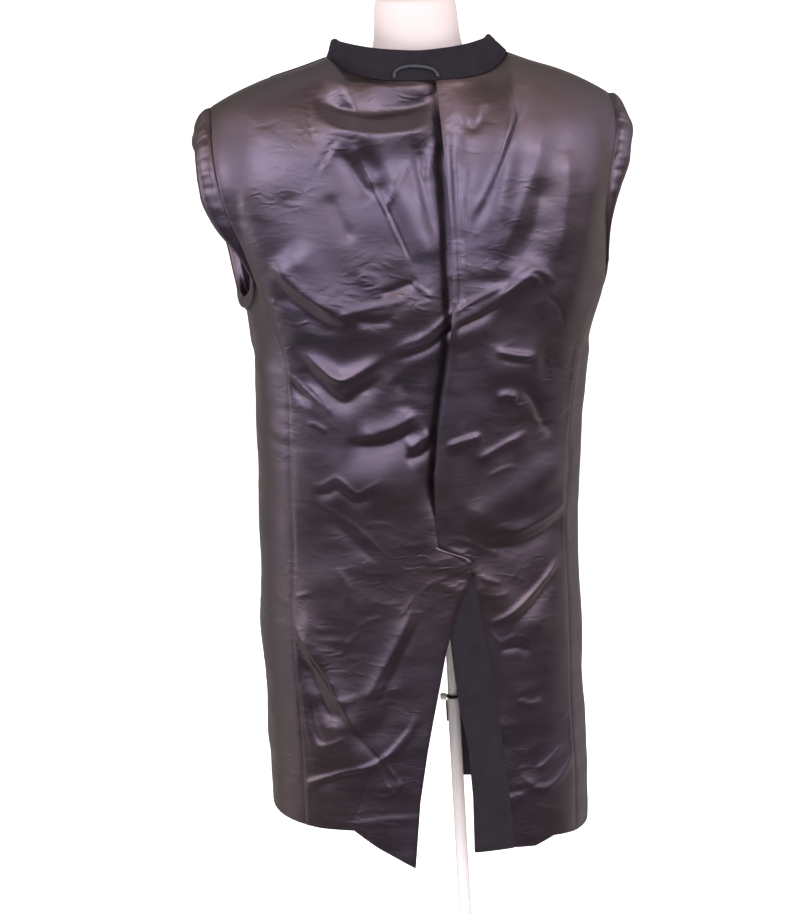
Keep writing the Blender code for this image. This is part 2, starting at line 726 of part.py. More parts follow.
def add_collar(halves):
    """Stand and fall: up from the seam, over the fold, and down inside."""
    seams, normals, folds = collar_places(halves)
    runs = unit(np.gradient(folds, axis=0))
    seam_runs = unit(np.gradient(seams, axis=0))
    outer = []
    inner = []
    radius = COLLAR_FOLD / 2
    for seam, normal, fold, run, seam_run in zip(seams, normals, folds, runs, seam_runs):
        away = unit(np.cross(seam_run, normal))
        seam = seam + away * SEAM_GAP * 1.5
        rise = unit(fold - seam)
        inwards = unit(np.cross(run, rise))
        down = unit(np.array([0.0, 0.0, -1.0]) - 0.15 * inwards)
        stand_end = fold - rise * radius
        line = [seam + (stand_end - seam) * t for t in (0.0, 0.3, 0.65, 1.0)]
        under = [point + inwards * WALL for point in line]
        under[0] = seam - normal * WALL
        centre = stand_end + inwards * radius
        for angle in (40, 90, 140):
            swing = math.radians(angle)
            way = -inwards * math.cos(swing) + rise * math.sin(swing)
            line.append(centre + way * radius)
            under.append(centre + way * (radius - WALL))
        fall = stand_end + inwards * COLLAR_FOLD
        middle = smooth_step(1.3 - abs(fold[0] - COLLAR_X) / 0.06)
        length = COLLAR_FALL * (0.7 + 0.3 * middle)
        for t in (0.0, 0.5, 1.0):
            line.append(fall + down * length * t)
            under.append(fall + down * length * t - inwards * WALL)
        outer.append(line)
        inner.append(under)
    outer = np.array(outer)
    add_sheet("collar", outer, np.array(inner), WOOL)
    return outer


def add_hanger_loop(collar):
    """Flat tape that arches over the stand, its ends at the collar's seam."""
    middle_columns = np.abs(collar[:, 0, 0] - NECK_X) < 0.7 * NECK_HALF
    middle_columns &= collar[:, 0, 1] > 0
    low = collar[middle_columns, 0]
    high = collar[middle_columns, 3]
    outer = []
    inner = []
    for t in np.linspace(0.0, 1.0, 15):
        x = LOOP_LEFT_X + (LOOP_RIGHT_X - LOOP_LEFT_X) * (0.5 - 0.5 * math.cos(math.pi * t))
        seam = np.array([np.interp(x, low[:, 0], low[:, i]) for i in range(3)])
        top = np.array([np.interp(x, low[:, 0], high[:, i]) for i in range(3)])
        rise = unit(top - seam)
        out = unit(np.cross(rise, np.array([1.0, 0.0, 0.0])))
        arch = math.sin(math.pi * t)
        middle = seam + rise * (0.0024 + LOOP_HEIGHT * arch**0.7) + out * (2 * SEAM_GAP + 0.002 * arch)
        side_way = unit(rise * arch + np.array([math.cos(math.pi * t), 0, 0]))
        pair = [middle - side_way * LOOP_WIDTH / 2, middle + side_way * LOOP_WIDTH / 2]
        inner.append(pair)
        outer.append([point + out * TAPE_WALL for point in pair])
    return add_sheet("hanger_loop", np.array(outer), np.array(inner), TAPE)


def stand_x(z):
    return STAND_TOP_X - (STAND_TOP_Z - z) * STAND_LEAN


def add_form():
    """Torso and neck block of the dress form, one smooth closed shell."""
    angles = np.linspace(0.0, 2 * math.pi, FORM_SIDES, endpoint=False)
    power = 2.0 / FORM_POWER
    points = []
    for z, beside, half, back, front in FORM:
        ease = power if z < 1.43 else power + (1.0 - power) * min(1.0, (z - 1.43) / 0.03)
        for angle in angles:
            across = math.copysign(abs(math.cos(angle)) ** ease, math.cos(angle))
            depth = math.copysign(abs(math.sin(angle)) ** ease, math.sin(angle))
            y = depth * (back if depth > 0 else front)
            points.append((stand_x(z) + beside + half * across, y, z))
    faces = []
    for r in range(len(FORM) - 1):
        for c in range(FORM_SIDES):
            d = (c + 1) % FORM_SIDES
            low = r * FORM_SIDES
            high = low + FORM_SIDES
            faces.append((low + c, low + d, high + d, high + c))
    top = (len(FORM) - 1) * FORM_SIDES
    faces.append(tuple(range(FORM_SIDES - 1, -1, -1)))
    faces.append(tuple(range(top, top + FORM_SIDES)))
    return add_solid("form_torso", points, faces, FORM_SKIN)


def add_round(name, profile, foot, head, sides, finish):
    """A turned piece: rings given as (share of the way up, radius), from foot to head."""
    foot = np.array(foot, float)
    head = np.array(head, float)
    axis = unit(head - foot)
    first = unit(np.cross(axis, np.array([0.0, 1.0, 0.001])))
    second = np.cross(axis, first)
    points = []
    for share, radius in profile:
        for i in range(sides):
            angle = 2 * math.pi * i / sides
            way = first * math.cos(angle) + second * math.sin(angle)
            points.append(foot + (head - foot) * share + way * radius)
    faces = [tuple(range(sides)), tuple(range((len(profile) - 1) * sides, len(profile) * sides))]
    for r in range(len(profile) - 1):
        for i in range(sides):
            j = (i + 1) % sides
            low = r * sides
            faces.append((low + i, low + j, low + sides + j, low + sides + i))
    item = add_solid(name, points, faces, finish, smooth=False)
    item.data.polygons.foreach_set("use_smooth", [True] * len(item.data.polygons))
    item.data.set_sharp_from_angle(angle=math.radians(40))
    return item


def add_stand():
    """Two tubes, the clamp at their joint, the socket and the base plate."""
    def on_axis(z):
        return (stand_x(z), 0.0, z)

    base_x = stand_x(BASE_THICK)
    gap = SEAM_GAP
    add_round("base_plate", [(0, BASE_RADIUS - 0.002), (0.2, BASE_RADIUS), (0.8, BASE_RADIUS),
                             (1, BASE_RADIUS - 0.003)],
              (base_x, 0, 0), (base_x, 0, BASE_THICK), 48, BASE_PAINT)
    socket_foot = BASE_THICK + gap
    add_round("base_socket", [(0, SOCKET_RADIUS), (0.5, SOCKET_RADIUS), (1, LOWER_TUBE + 0.003)],
              (base_x, 0, socket_foot), (base_x, 0, socket_foot + SOCKET_HEIGHT), 24, CHROME)
    tube_foot = socket_foot + SOCKET_HEIGHT + gap + LOWER_TUBE * STAND_LEAN
    add_round("pole_lower", [(0, LOWER_TUBE), (1, LOWER_TUBE)],
              on_axis(tube_foot), on_axis(TUBE_JOINT_Z), 20, CHROME)
    add_round("clamp_ring", [(0, RING_RADIUS), (1, RING_RADIUS)],
              on_axis(TUBE_JOINT_Z + gap), on_axis(TUBE_JOINT_Z + gap + RING_HEIGHT), 20, BLACK_PLASTIC)
    upper_foot = TUBE_JOINT_Z + 2 * gap + RING_HEIGHT
    add_round("pole_upper", [(0, UPPER_TUBE), (1, UPPER_TUBE)],
              on_axis(upper_foot), on_axis(FORM[0][0] - gap - UPPER_TUBE * STAND_LEAN), 20, CHROME)
    middle_z = TUBE_JOINT_Z + gap + RING_HEIGHT / 2
    knob_x = stand_x(middle_z) + RING_RADIUS + gap
    add_round("clamp_knob", [(0, 0.0020), (0.35, 0.0020), (0.4, KNOB_RADIUS), (0.9, KNOB_RADIUS),
                             (1, KNOB_RADIUS - 0.0008)],
              (knob_x, 0, middle_z), (knob_x + KNOB_LENGTH, 0, middle_z), 16, CHROME)
    lever_x = stand_x(TUBE_JOINT_Z) + LOWER_TUBE + SEAM_GAP
    top = TUBE_JOINT_Z - 0.0030
    points = []
    for z in (top, top - LEVER_LENGTH):
        x = lever_x - (top - z) * STAND_LEAN
        for dx, dy in ((0, -0.002), (0.0016, -0.002), (0.0016, 0.002), (0, 0.002)):
            points.append((x + dx, dy, z))
    faces = [(0, 1, 2, 3), (4, 5, 6, 7), (0, 1, 5, 4), (1, 2, 6, 5), (2, 3, 7, 6), (3, 0, 4, 7)]
    add_solid("clamp_lever", points, faces, BLACK_PLASTIC, smooth=False)


def main():
    for item in list(bpy.data.objects):
        bpy.data.objects.remove(item, do_unlink=True)
    armhole = len(ARMHOLE_BACK) - 1
    back_last = NECK_COLUMNS + SHOULDER_COLUMNS + armhole
    front_last = back_last + len(ARMHOLE_FRONT) - 1 + SHOULDER_COLUMNS - SHOULDER_SPLIT
    halves = {side: half_body(side) for side in (1, -1)}
    for side, word in ((1, "left"), (-1, "right")):
        shape, normals = halves[side]
        last = shape.shape[1] - 1
        add_panel(f"back_{word}", shape, normals, 0, back_last, LINING)
        add_panel(f"front_{word}", shape, normals, back_last, front_last, LINING)
        add_panel(f"facing_{word}", shape, normals, front_last, last, WOOL)
        add_lapel(f"lapel_{word}", shape, normals, front_last + SHOULDER_SPLIT + 2, last)
        add_sleeve(f"sleeve_{word}", side, shape, normals)
    add_vent_facing()
    add_hanger_loop(add_collar(halves))
    add_form()
    add_stand()


main()
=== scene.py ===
import math

import bmesh
import bpy
import numpy as np
from mathutils import Euler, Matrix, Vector


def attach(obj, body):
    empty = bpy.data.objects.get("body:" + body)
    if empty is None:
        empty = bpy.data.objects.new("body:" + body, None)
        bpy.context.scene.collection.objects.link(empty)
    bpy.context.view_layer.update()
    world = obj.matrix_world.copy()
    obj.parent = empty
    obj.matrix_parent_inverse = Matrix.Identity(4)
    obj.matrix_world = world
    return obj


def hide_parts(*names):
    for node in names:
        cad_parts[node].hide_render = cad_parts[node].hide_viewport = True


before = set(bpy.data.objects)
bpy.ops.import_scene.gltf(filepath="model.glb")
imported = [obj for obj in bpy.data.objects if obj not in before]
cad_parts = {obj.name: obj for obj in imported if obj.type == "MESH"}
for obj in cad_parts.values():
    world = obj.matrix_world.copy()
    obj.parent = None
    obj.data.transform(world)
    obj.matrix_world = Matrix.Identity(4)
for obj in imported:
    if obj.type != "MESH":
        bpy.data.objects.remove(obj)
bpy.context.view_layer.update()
bpy.ops.object.select_all(action="DESELECT")

# The coat's body, back. The real piece is wool cloth with a satin lining, turned inside out: the lining
# is the outer face. It is cut in two halves, sewn down the middle to the vent, with an ease pleat above
# the waist. The right half laps over the left one at the pleat, and the left flap laps at the vent.
WALL = 0.0025            # lining and wool together
SEAM_GAP = 0.0003        # between two pieces at a seam
SECTION_POWER = 2.4      # 2 would be an ellipse
SECTIONS = [
    # z, centre x, half width, depth to the back, depth to the front
    (0.500, 0.000, 0.1890, 0.130, 0.140),
    (0.600, -0.001, 0.1897, 0.129, 0.139),
    (0.700, 0.0024, 0.1895, 0.128, 0.138),
    (0.800, 0.0049, 0.1904, 0.127, 0.138),
    (0.900, 0.0042, 0.1873, 0.127, 0.139),
    (1.000, 0.0024, 0.1888, 0.129, 0.143),
    (1.100, -0.0030, 0.1950, 0.132, 0.148),
    (1.150, -0.0060, 0.2020, 0.134, 0.150),
]
BASE_Z = 1.100           # above this level the cloth runs to the neck, shoulder and armhole
LOW_Z = 0.600            # below this level the rows close up towards the hem
HEM_BAND = 0.05          # height of that stretch, before the hem bends it
HEM_LENGTH = 0.06        # its length along the cloth, for the count of rows
UPPER_LENGTH = 0.32      # from the base level up to the shoulder, for the count of rows
CLIMB_STEP = 0.012       # stretch that gives the cloth's direction at the base level
EASE_ROUNDS = 90
VENT_MARGIN = 0.004      # the normals are smoothed this far beyond the top of the vent
SIDE_SEAM = 0.855        # where the back ends, as a share of the half width
HEM = {
    1: [
        # share of the way round from the centre back, z
        (0.00, 0.520),
        (0.09, 0.546),
        (0.15, 0.567),
        (0.24, 0.566),
        (0.40, 0.570),
        (1.00, 0.560),
    ],
    -1: [
        (0.00, 0.534),
        (0.07, 0.531),
        (0.14, 0.538),
        (0.24, 0.533),
        (0.40, 0.533),
        (1.00, 0.536),
    ],
}
CENTRE_BACK = [
    # z, x of the pleat's fold, width of the left half under it
    (0.876, 0.001, -SEAM_GAP),
    (0.930, 0.006, -SEAM_GAP),
    (0.985, 0.006, -SEAM_GAP),
    (1.040, 0.001, 0.012),
    (1.100, -0.009, 0.016),
    (1.160, -0.0155, 0.016),
    (1.423, -0.015, 0.016),
]
PLEAT_DEPTH = 0.0062     # how far the left half lies behind the fold
PLEAT_RISE = 0.0020      # how far the fold stands out
PLEAT_REACH = 0.030      # width of the slope down to the pleat
VENT = [
    # z, left flap's edge x, right flap's edge x, seam of the right flap's facing x
    (0.500, 0.046, -0.032, -0.086),
    (0.600, 0.031, -0.031, -0.0745),
    (0.660, 0.021, -0.027, -0.068),
    (0.720, 0.009, -0.016, -0.0605),
    (0.775, -0.002, -0.010, -0.053),
    (0.830, -0.017, -0.006, -0.0435),
    (0.868, -0.034, 0.000, -0.036),
]
VENT_TOP = 0.868
FLAP_TOP = [
    # z, x of the left flap's edge, where it is stitched down on the slant above the vent
    (0.868, -0.034),
    (0.884, -0.034),
    (0.889, -0.028),
    (0.901, 0.0025),
]
VENT_RISE = 0.0033       # the left flap lies this far over the right one
FRONT_EDGE = [
    # z, left edge x, right edge x
    (0.500, 0.016, -0.066),
    (0.700, 0.018, -0.060),
    (0.900, 0.028, -0.046),
    (1.125, 0.036, -0.036),
]
FACING_WIDTH = 0.092     # front facing, at the hem and at the chest
NECK_X = -0.005
NECK_HALF = 0.103
NECK_BACK_Y = 0.075
NECK_BACK_Z = 1.4225
NECK_RISE = 0.0245
SHOULDER_X = {1: 0.232, -1: 0.2285}
SHOULDER = [
    # share of the way out, z
    (0.00, 1.4470),
    (0.22, 1.4370),
    (0.50, 1.4260),
    (0.76, 1.4120),
    (1.00, 1.3955),
]
# The two armholes differ: the left one gapes towards the back, the right one is covered by the cloth.
ARMHOLE_BACK = [
    # left x, right x, y, z, then the way the cloth runs there: out, back, up
    (0.2320, 0.2285, 0.000, 1.3955, 0.25, -0.95, -0.09),
    (0.2340, 0.2300, 0.026, 1.375, 0.28, -0.86, 0.18),
    (0.2350, 0.2265, 0.044, 1.350, 0.32, -0.74, 0.42),
    (0.2320, 0.2185, 0.056, 1.320, 0.32, -0.56, 0.65),
    (0.2250, 0.2120, 0.062, 1.290, 0.30, -0.42, 0.79),
    (0.2120, 0.2100, 0.062, 1.257, 0.24, -0.34, 0.86),
    (0.1990, 0.2100, 0.059, 1.230, 0.18, -0.30, 0.90),
    (0.1910, 0.2110, 0.052, 1.205, 0.10, -0.26, 0.94),
]
ARMHOLE_FRONT = [
    (0.1910, 0.2110, 0.052, 1.205, 0.10, -0.26, 0.94),
    (0.1915, 0.2110, 0.036, 1.184, 0.06, -0.15, 0.98),
    (0.1955, 0.2105, 0.018, 1.170, 0.08, -0.05, 1.00),
    (0.1985, 0.2090, 0.000, 1.165, 0.08, 0.00, 1.00),
    (0.1990, 0.2060, -0.020, 1.168, 0.08, 0.06, 1.00),
    (0.1970, 0.2010, -0.040, 1.182, 0.12, 0.18, 0.97),
    (0.1960, 0.1980, -0.058, 1.212, 0.20, 0.30, 0.93),
    (0.1990, 0.1990, -0.067, 1.250, 0.28, 0.40, 0.86),
    (0.2060, 0.2050, -0.067, 1.290, 0.33, 0.50, 0.78),
    (0.2170, 0.2140, -0.056, 1.330, 0.33, 0.66, 0.56),
    (0.2270, 0.2230, -0.032, 1.368, 0.29, 0.84, 0.24),
    (0.2320, 0.2285, 0.000, 1.3955, 0.25, 0.95, -0.09),
]
ROLL_LINE = [
    # x, y, z: from the neck point down to the lapel's break
    (0.103, 0.000, 1.4470),
    (0.094, -0.038, 1.4180),
    (0.083, -0.072, 1.3750),
    (0.069, -0.108, 1.3100),
    (0.055, -0.133, 1.2400),
    (0.043, -0.1445, 1.1750),
    (0.036, -0.1480, 1.1250),
]
CHEST_SLOPE = 0.15       # how fast the chest turns back towards the side, beside the roll line

# Stations round one half of the coat, counted from the centre back to the front edge.
AT_NECK = 5
AT_SHOULDER = 9
AT_SIDE = 16
AT_FRONT_SHOULDER = 27
AT_FACING = 29
AT_ROLL = 31
AT_EDGE = 37

FOLDS = [
    # x and z of one end, x and z of the other, half width, height
    (0.090, 1.335, -0.010, 1.330, 0.020, -0.0025),
    (0.080, 1.372, -0.005, 1.368, 0.014, 0.0025),
    (0.070, 1.345, 0.015, 1.215, 0.013, -0.0030),
    (0.155, 1.240, 0.100, 1.165, 0.022, 0.0040),
    (0.120, 1.170, -0.010, 1.180, 0.018, 0.0035),
    (0.040, 1.120, -0.125, 1.215, 0.016, 0.0040),
    (0.150, 1.130, 0.040, 1.110, 0.022, -0.0035),
    (-0.040, 1.380, -0.020, 1.230, 0.014, -0.0030),
    (-0.060, 1.100, -0.120, 1.110, 0.024, 0.0030),
    (0.120, 0.975, 0.030, 0.985, 0.024, 0.0030),
    (-0.030, 0.930, -0.155, 0.985, 0.022, 0.0035),
    (0.150, 0.820, 0.100, 0.640, 0.016, 0.0045),
    (0.090, 0.700, 0.040, 0.820, 0.016, 0.0030),
    (-0.040, 0.860, -0.120, 0.790, 0.018, 0.0030),
]

# Creases of the back, listed one by one. Height and the widths above and below the crest are in
# millimetres, the points in centimetres: x, z. On an upright crease the first width is the one
# towards +X.
THIN_CREASE = 4          # widest side of a thin crease, in millimetres
THIN = (0.62, 1.15, 0.66)        # shares of its width and of its height, and how sharp its crest is
BROAD = (1.0, 1.6, 1.5)
TAPER = 0.26             # share of a crease over which each end fades
BACK_CREASES = [
    (2.6, 5, 9, (11.0, 142.5), (9.5, 142.1), (7.0, 141.8), (3.7, 141.8), (1.0, 141.8), (-1.3, 142.2)),
    (-5.0, 11, 8, (12.4, 141.2), (11.0, 140.3), (8.9, 139.6), (6.3, 139.3), (3.0, 139.4),
     (0.0, 140.0), (-1.9, 141.2)),
    (4.2, 7.5, 18, (12.6, 139.0), (10.4, 137.6), (8.0, 136.9), (5.6, 136.6), (2.6, 136.7),
     (-0.4, 137.6), (-1.8, 138.6)),
    (-1.6, 2.0, 2.4, (12.3, 142.0), (12.9, 139.2), (12.6, 135.6)),
    (-3.0, 1.8, 2.8, (10.3, 136.3), (11.8, 134.0), (12.7, 133.0)),
    (2.4, 2.2, 3.0, (9.9, 136.0), (11.2, 134.0), (12.2, 132.8)),
    (2.0, 16, 9, (8.7, 136.0), (7.3, 133.4), (5.7, 130.8)),
    (-2.6, 9, 12, (10.0, 135.4), (8.2, 132.0), (6.6, 129.6)),
    (3.2, 2.6, 3.4, (7.4, 133.6), (6.1, 130.3), (5.3, 128.6), (4.2, 125.8), (3.2, 123.6)),
    (-3.0, 3.6, 2.4, (5.4, 129.6), (4.6, 127.6), (3.6, 125.2), (2.6, 122.8)),
    (3.0, 4, 2.6, (5.6, 128.0), (4.2, 130.6), (2.9, 132.6), (2.0, 134.0)),
    (-1.8, 8, 4, (2.2, 136.6), (1.2, 134.0), (0.9, 131.0), (0.3, 127.8), (-0.3, 124.4)),
    (2.2, 2.6, 3, (2.6, 136.0), (1.9, 133.4), (1.5, 130.6), (1.1, 127.6)),
    (2.0, 3, 8, (-0.9, 136.2), (0.0, 134.0), (0.8, 131.4)),
    (-1.4, 16, 12, (15.9, 131.2), (16.0, 127.0), (16.1, 122.5)),
    (-1.6, 9, 9, (11.6, 130.6), (10.4, 127.8), (9.0, 125.0)),
    (3.2, 10, 5, (17.8, 123.6), (16.4, 121.4), (14.5, 119.6), (12.2, 118.0), (10.6, 117.6)),
    (-3.2, 7, 14, (17.6, 120.6), (15.2, 118.2), (12.6, 116.4), (9.6, 115.4)),
    (3.4, 3.5, 3.5, (5.4, 112.9), (3.2, 114.0), (1.4, 114.7), (-1.7, 116.9), (-4.9, 118.7), (-8.2, 120.0)),
    (1.6, 4, 5, (-8.0, 120.0), (-10.2, 121.0), (-11.8, 121.2), (-14.0, 119.4)),
    (-3.2, 3, 7, (5.2, 112.0), (1.2, 113.2), (-2.0, 115.2), (-5.3, 116.6), (-8.3, 118.4)),
    (2.8, 4, 4, (12.6, 115.8), (10.2, 117.2), (7.4, 118.0), (4.2, 118.6), (2.2, 119.4)),
    (-2.2, 4, 5, (6.4, 119.4), (4.4, 119.9), (2.0, 121.0)),
    (2.0, 3, 4, (3.4, 121.2), (1.6, 119.8), (0.2, 118.8)),
    (-2.0, 4, 6, (9.4, 116.6), (6.6, 116.4), (4.6, 117.0)),
    (3.4, 10, 5, (15.2, 113.6), (13.0, 111.4), (10.8, 109.8), (8.4, 110.8), (5.6, 112.6)),
    (-3.4, 6, 12, (14.8, 111.2), (11.0, 107.4), (8.6, 108.4), (6.0, 110.2)),
    (-1.8, 10, 14, (5.0, 110.0), (3.4, 108.0), (3.6, 105.6)),
    (2.6, 2.8, 4, (18.8, 114.2), (17.0, 111.4), (14.8, 108.8), (12.2, 106.4)),
    (-2.2, 5, 5, (18.6, 112.4), (16.4, 109.4), (14.0, 106.6)),
    (1.8, 3, 4, (14.6, 109.4), (12.8, 107.6), (11.6, 105.6)),
    (1.8, 3, 3.5, (19.1, 107.0), (18.0, 106.0), (16.7, 104.8)),
    (2.0, 3.5, 3, (17.1, 108.5), (18.4, 106.0), (19.1, 102.6)),
    (1.6, 3, 4, (14.6, 104.8), (13.4, 104.6), (12.2, 103.8)),
    (3.2, 12, 5, (9.4, 103.4), (7.4, 103.6), (5.0, 104.4), (2.6, 105.8)),
    (-3.2, 5, 14, (10.6, 102.6), (7.6, 102.2), (4.8, 102.8), (2.0, 104.4)),
    (2.6, 8, 5, (3.7, 101.7), (2.2, 102.6), (0.6, 103.6)),
    (-2.0, 4, 7, (4.0, 100.6), (2.2, 101.0), (0.6, 102.0)),
    (2.0, 3, 4, (14.6, 97.6), (13.0, 97.8), (11.6, 98.7), (10.4, 97.9), (9.3, 97.0), (7.6, 97.8),
     (6.2, 98.6)),
    (-1.8, 3, 7, (14.4, 96.6), (12.6, 96.8), (11.4, 97.3), (9.4, 95.9), (7.0, 97.0)),
    (1.6, 2.6, 4, (13.8, 95.8), (11.2, 94.2), (8.8, 92.3), (6.1, 89.4)),
    (1.4, 3, 4, (8.8, 93.0), (7.0, 93.3), (5.2, 93.0)),
    (-1.2, 8, 8, (12.6, 94.0), (9.8, 91.2), (7.0, 88.6)),
    (-3.0, 9, 8, (-11.7, 139.6), (-9.8, 136.8), (-7.8, 132.8), (-5.6, 128.6), (-4.0, 125.6)),
    (2.4, 5, 9, (-10.2, 139.4), (-8.0, 134.4), (-6.0, 130.2), (-4.0, 127.0)),
    (2.0, 12, 16, (-13.4, 138.0), (-12.0, 133.0), (-9.4, 127.0), (-6.6, 121.6)),
    (2.2, 12, 14, (-15.8, 134.6), (-15.6, 130.4), (-15.0, 126.0), (-14.2, 121.6)),
    (-1.8, 14, 16, (-12.8, 131.4), (-11.6, 126.4), (-9.6, 121.6)),
    (1.8, 2.5, 3.5, (-4.3, 134.0), (-3.6, 130.6), (-3.4, 127.4), (-3.3, 124.3)),
    (-1.8, 3, 3, (-2.7, 133.4), (-3.6, 130.0), (-3.9, 126.2)),
    (-1.8, 3, 3, (-2.0, 137.4), (-3.0, 136.4), (-3.3, 135.2)),
    (1.8, 3.5, 3, (-1.6, 141.6), (-2.6, 139.8), (-3.2, 137.8)),
    (-1.4, 3, 5, (-3.6, 138.4), (-5.0, 137.0), (-6.2, 138.0), (-6.6, 139.6)),
    (-1.6, 3, 3, (-8.8, 142.2), (-10.0, 139.6), (-10.4, 137.0)),
    (1.3, 3, 3, (-10.2, 141.6), (-12.2, 141.0)),
    (1.8, 3, 5, (-6.6, 118.4), (-9.4, 120.0), (-11.0, 120.5), (-12.6, 119.2)),
    (-1.4, 3, 3, (-12.6, 118.6), (-14.4, 116.6), (-15.0, 114.4)),
    (2.2, 3.0, 4.5, (-6.2, 112.6), (-8.4, 112.0), (-10.2, 111.6), (-11.6, 111.5)),
    (-1.6, 3, 4, (-6.8, 111.7), (-8.8, 111.0), (-11.4, 110.7)),
    (2.0, 5, 6, (-6.4, 107.0), (-7.8, 107.3), (-9.4, 106.8)),
    (-1.8, 6, 5, (-9.2, 108.2), (-11.0, 106.6), (-12.6, 103.4), (-13.4, 101.6)),
    (1.8, 4, 3, (-10.6, 104.8), (-12.0, 103.6), (-14.4, 104.0), (-16.0, 104.8)),
    (2.0, 3, 7, (-0.6, 101.9), (-3.0, 102.6), (-5.0, 103.0)),
    (1.6, 4, 5, (-4.0, 100.0), (-7.4, 101.6), (-10.6, 102.8)),
    (1.4, 3, 4, (-5.2, 98.0), (-7.6, 98.9), (-9.2, 98.8)),
    (3.6, 12, 6, (-4.4, 91.2), (-6.4, 91.8), (-9.0, 91.4), (-12.0, 92.2), (-14.6, 93.4), (-17.0, 95.6)),
    (-3.0, 5, 14, (-4.8, 89.8), (-8.6, 89.6), (-12.2, 90.4), (-15.6, 92.2)),
    (1.8, 2.4, 4, (-1.6, 91.2), (-3.6, 90.4), (-5.4, 89.4), (-7.2, 88.9)),
    (1.8, 2.6, 4, (0.6, 90.8), (-1.4, 89.8), (-3.2, 88.8), (-4.2, 88.1)),
    (-1.4, 3, 4, (0.0, 89.8), (-2.0, 88.8), (-3.6, 87.8)),
    (3.0, 3.4, 5, (-14.8, 87.8), (-12.6, 85.4), (-10.4, 83.5), (-7.6, 81.6), (-5.1, 80.7)),
    (-2.4, 4, 8, (-14.4, 86.2), (-11.2, 82.6), (-8.0, 80.2)),
    (2.0, 3, 4, (-5.2, 80.4), (-6.6, 78.6), (-8.6, 79.0), (-10.8, 78.0)),
    (-1.8, 3, 6, (-6.4, 77.6), (-8.6, 77.6), (-10.6, 76.8)),
    (2.2, 3, 4, (-3.8, 86.6), (-5.4, 86.0), (-7.2, 85.3)),
    (1.5, 3, 4, (-4.2, 84.4), (-6.2, 84.0), (-8.0, 84.3)),
    (1.4, 3, 5, (-8.4, 71.4), (-10.2, 70.6), (-12.0, 70.7)),
    (1.6, 3, 4, (-12.6, 67.3), (-14.2, 67.7), (-15.8, 68.5)),
    (1.4, 3, 5, (-10.6, 62.4), (-12.6, 63.3), (-14.8, 64.8)),
    (1.8, 5, 5, (-8.6, 62.4), (-11.0, 60.2), (-13.6, 60.6), (-16.6, 63.6)),
    (1.6, 3, 4, (-10.4, 58.4), (-12.2, 57.4), (-14.0, 57.0)),
    (1.3, 3, 3, (-15.0, 62.0), (-16.6, 60.0), (-17.2, 58.2)),
    (5.0, 13, 3.4, (17.0, 82.0), (14.8, 77.5), (12.9, 74.1), (10.7, 69.7), (9.2, 68.0)),
    (-6.4, 8, 20, (15.8, 77.4), (14.0, 72.4), (12.4, 68.8)),
    (2.0, 2.8, 4, (16.9, 80.0), (16.1, 76.1), (15.7, 69.7), (15.0, 65.4)),
    (-2.6, 3, 6, (15.2, 72.0), (14.8, 68.6), (13.8, 66.4)),
    (3.0, 2.4, 4, (14.9, 66.7), (13.2, 67.0), (11.4, 68.2)),
    (2.8, 3, 6, (18.4, 59.4), (16.2, 61.6), (12.1, 63.6), (7.6, 65.3), (4.4, 68.6), (3.0, 71.4)),
    (-2.2, 3, 6, (15.0, 61.6), (12.0, 63.2), (8.8, 64.2)),
    (1.6, 3, 4, (10.2, 80.7), (8.4, 82.0), (6.4, 82.4)),
    (1.6, 3, 4, (11.6, 77.8), (10.4, 79.8), (9.0, 81.0)),
    (2.0, 3, 3, (5.2, 82.2), (4.2, 83.2), (3.2, 84.8)),
    (1.6, 3, 3, (3.0, 84.6), (1.0, 86.2), (-1.4, 87.0)),
    (2.4, 6, 4, (9.6, 71.6), (7.4, 75.6), (5.6, 78.8), (3.0, 84.2)),
    (-2.2, 4, 7, (8.4, 71.0), (6.2, 75.0), (4.4, 78.6), (2.4, 82.4)),
    (2.8, 3, 4, (11.0, 69.9), (9.2, 67.6), (7.3, 65.3), (5.2, 62.2)),
    (-1.8, 4, 5, (10.4, 69.0), (8.4, 66.4), (6.6, 64.2)),
    (1.8, 3, 4, (6.8, 65.6), (5.0, 67.0), (3.2, 70.0)),
    (2.0, 4, 3, (8.9, 61.3), (7.4, 60.8), (5.8, 61.6), (5.0, 63.4)),
    (1.5, 3, 3, (7.9, 65.0), (7.0, 62.4), (5.6, 60.6)),
    (-1.5, 2.5, 2.5, (8.6, 65.3), (9.7, 60.7), (11.0, 57.4)),
    (2.0, 3, 4, (18.2, 84.0), (16.4, 84.3), (14.4, 85.2)),
    (1.2, 2.5, 2.5, (18.8, 65.2), (15.9, 66.0)),
    (1.4, 4, 4, (18.6, 74.6), (17.4, 71.8), (16.4, 69.6)),
    (-1.6, 12, 12, (4.6, 78.2), (6.6, 71.4), (8.4, 66.8)),
    (1.2, 5, 5, (11.8, 88.2), (10.6, 86.0), (11.0, 83.6)),
]

WOOL_TWILL = 0.0016      # real twill is 0.8 mm apart; drawn twice as coarse, so that it can show


def unit(vectors):
    length = np.linalg.norm(vectors, axis=-1, keepdims=True)
    return vectors / np.maximum(length, 1e-12)


def smooth_step(value):
    t = np.clip(value, 0.0, 1.0)
    return t * t * (3.0 - 2.0 * t)


def blend(t, span, start, start_slope, end, end_slope):
    """Smooth way from start to end, for t from 0 to 1, that leaves and arrives at these slopes."""
    return (
        (2 * t**3 - 3 * t**2 + 1) * start
        + (t**3 - 2 * t**2 + t) * span * start_slope
        + (3 * t**2 - 2 * t**3) * end
        + (t**3 - t**2) * span * end_slope
    )


